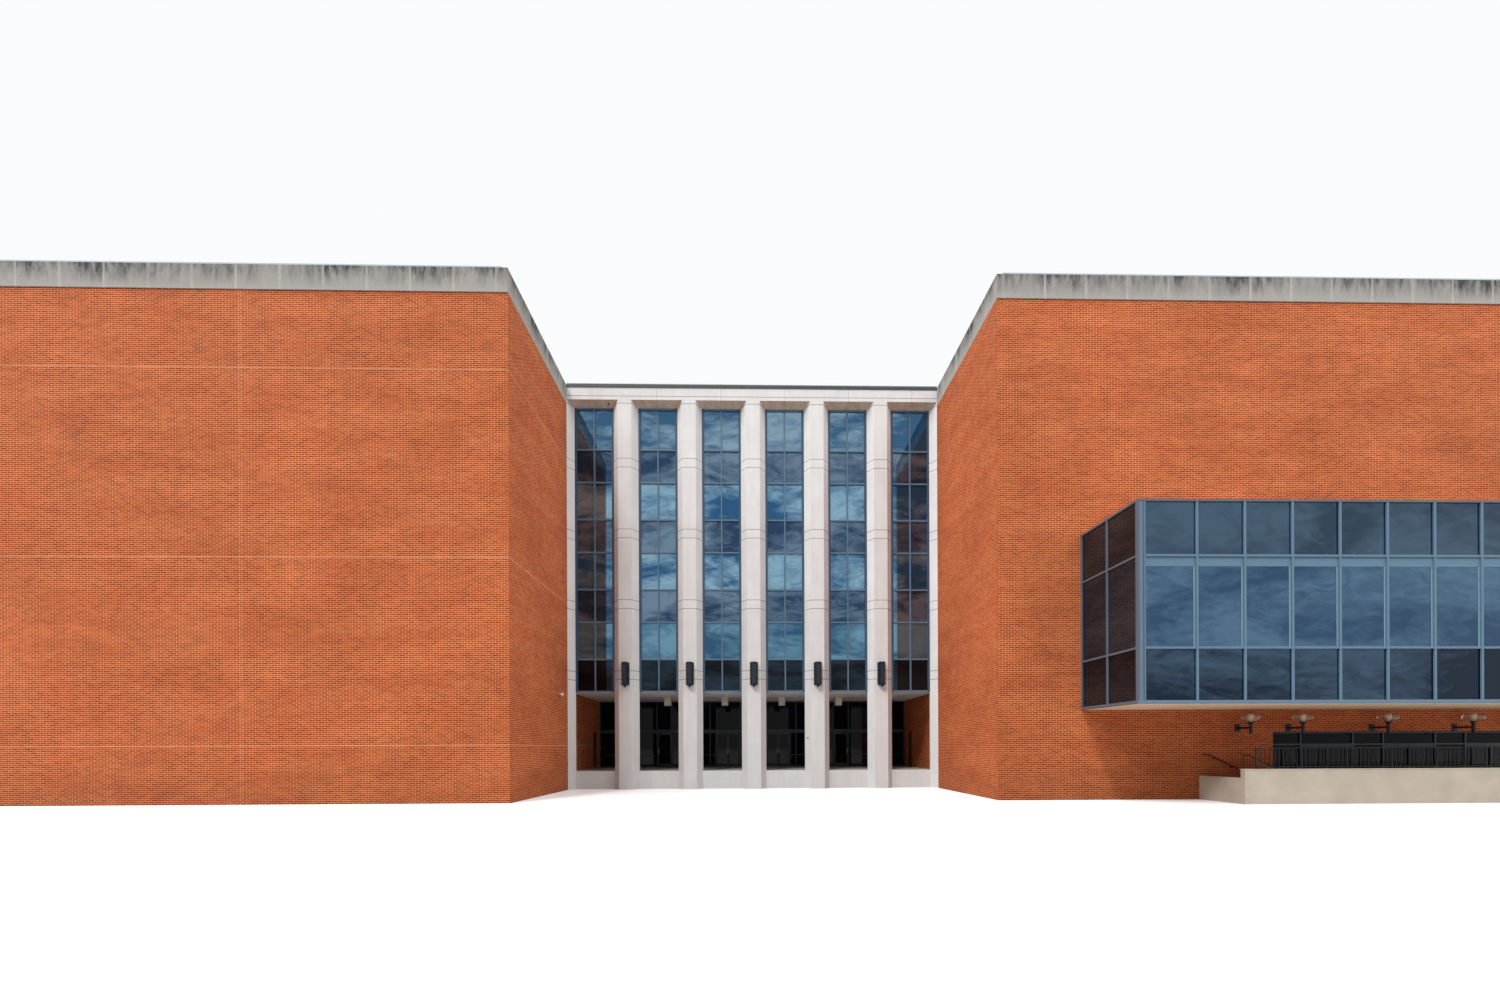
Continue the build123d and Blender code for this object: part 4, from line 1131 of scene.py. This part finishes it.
# %% Globes
lights = (entry_edges[:-1:2] + entry_edges[1::2]) / 2
globe_x = np.array([10.24, *lights])
globe_y, globe_z = wing_front - 0.32, plaza + 1.205
globe_wide, globe_high = 0.165, 0.085
globe_places = spots(globe_x, globe_y, globe_z)
angle = np.linspace(-np.pi / 2 + 0.12, np.pi / 2 - 0.12, 22)
oval = spots(globe_wide * np.cos(angle) ** 0.8, globe_high * np.sin(angle) / np.sin(angle[-1]))
smoky = graded(Finish("smoky_globe", Roughness=0.08, IOR=1.3, Transmission_Weight=0.72,
                      Specular_IOR_Level=0.5),
               globe_z - globe_high, globe_z + globe_high, rgb(196, 160, 138), rgb(232, 214, 202))
piece("lamp_globes", lathe(oval, globe_places, 40), smoky,
      replaces=["globes"], smooth=True)
bulb = [(0.012, -0.075), (0.02, -0.06), (0.02, -0.03), (0.035, -0.005), (0.04, 0.02),
        (0.03, 0.045), (0.01, 0.056)]
piece("lamp_bulbs", lathe(bulb, globe_places, 16), frosted, smooth=True)

# %% Arms and posts of the globes
arm_places = spots(plaza + 1.01, globe_x)
post_profile = [(0.02, 0.875), (0.0275, 0.88), (0.0275, 1.08), (0.032, 1.09), (0.055, 1.105),
                (0.055, 1.118), (0.03, 1.122)]
brackets = joined(
    bars((0.04, 0.04, 0.005), "y", arm_places, (globe_y, wing_front)),
    bars((0.165, 0.11, 0.01), "y", arm_places, (wing_front - 0.012, wing_front)),
    lathe(post_profile, spots(globe_x, globe_y, plaza), 20),
)
piece("globe_brackets", brackets, black_paint, replaces=["globe_arms"])

# %% Lanterns on the piers
low, high = plaza + 2.36, plaza + 2.985
half, face, reach_out = 0.1125, 0.0625, 0.175
lantern_y = pier_y - reach_out


def lantern_bodies(levels, widths, depths):
    """Rings of four corners at each level: back left, front left, front right, back right.

    x = middle of the pier + width * half or face, y = face of the pier - depth in front.
    """
    widths, depths, levels = (np.array(row)[:, None] for row in (widths, depths, levels))
    x = pier_middles[:, None, None] + widths * (-half, -face, face, half)
    return skin(spots(x, pier_y - depths * (0, 1, 1, 0), levels))


shells = lantern_bodies(
    [low, low + 0.02, high - 0.03, high - 0.03, high], [0.80, 0.98, 0.98, 1.0, 1.0],
    [reach_out - 0.035, reach_out - 0.006, reach_out - 0.006, reach_out, reach_out])
rib_x = (pier_middles[:, None] + np.array([-face, face])).ravel()
ribs = bars((0.008, 0.010, 0.002), "z", spots(rib_x, lantern_y + 0.006), (low + 0.02, high - 0.03))
tips = lathe([(0.008, -0.058), (0.022, -0.05), (0.034, -0.02), (0.036, 0.0), (0.02, 0.004)],
             spots(pier_middles, pier_y - reach_out / 2, low), 12)
piece("lantern_bodies", joined(shells, ribs, tips), black_paint,
      replaces=["sconces"])
facets = bars((2 * face - 0.012, 0.006, 0.001), "z",
              spots(pier_middles, lantern_y + 0.005), (low + 0.03, high - 0.045))
facet_grey = painted_metal("facet_grey", rgb(28, 33, 46), 0.06, 0.55)
piece("lantern_facets", facets, facet_grey)

# %% [markdown]
# ## Small things
# A white dome camera watches the court from the left wing, a tiny one hangs under the head, and a
# small black plate sits on the fourth pier. They are few pixels in the photograph, but a real
# wall always carries some.

# %% Dome cameras and the plate
dome_x, dome_y, dome_z = -court_half + 0.07, pier_y - 0.685, plaza + 2.06
white = Finish("white_plastic", Roughness=0.35)
white_share = white.noise(white.use(wall_plane)["Place"], 12.0)
white.set(Base_Color=white.blend(white_share, rgb(236, 236, 234), rgb(214, 214, 210)))
turns = np.linspace(0, np.pi / 2 - 0.1, 8)
dome = [(max(0.034 * np.sin(turn), 0.004), -0.018 - 0.036 * np.cos(turn)) for turn in turns]
dome += [(0.034, -0.018), (0.045, -0.014), (0.045, 0.02), (0.04, 0.025)]
arm = bars((0.03, 0.025, 0.004), "x", (dome_y, dome_z + 0.0125), (-court_half, dome_x))
piece("wall_camera", joined(lathe(dome, (dome_x, dome_y, dome_z), 24), arm), white,
      replaces=["dome_camera"])
small = lathe([(0.006, -0.04), (0.02, -0.03), (0.025, -0.012), (0.025, 0.0)],
              (-3.985, pier_y + 0.10, head_z + 0.054), 16)
plate = bars((0.05, 0.012, 0.002), "z", (pier_middles[3] - 0.2625, pier_y + 0.1),
             (plaza + 0.88, plaza + 0.92))
piece("small_fittings", joined(small, plate), black_paint)
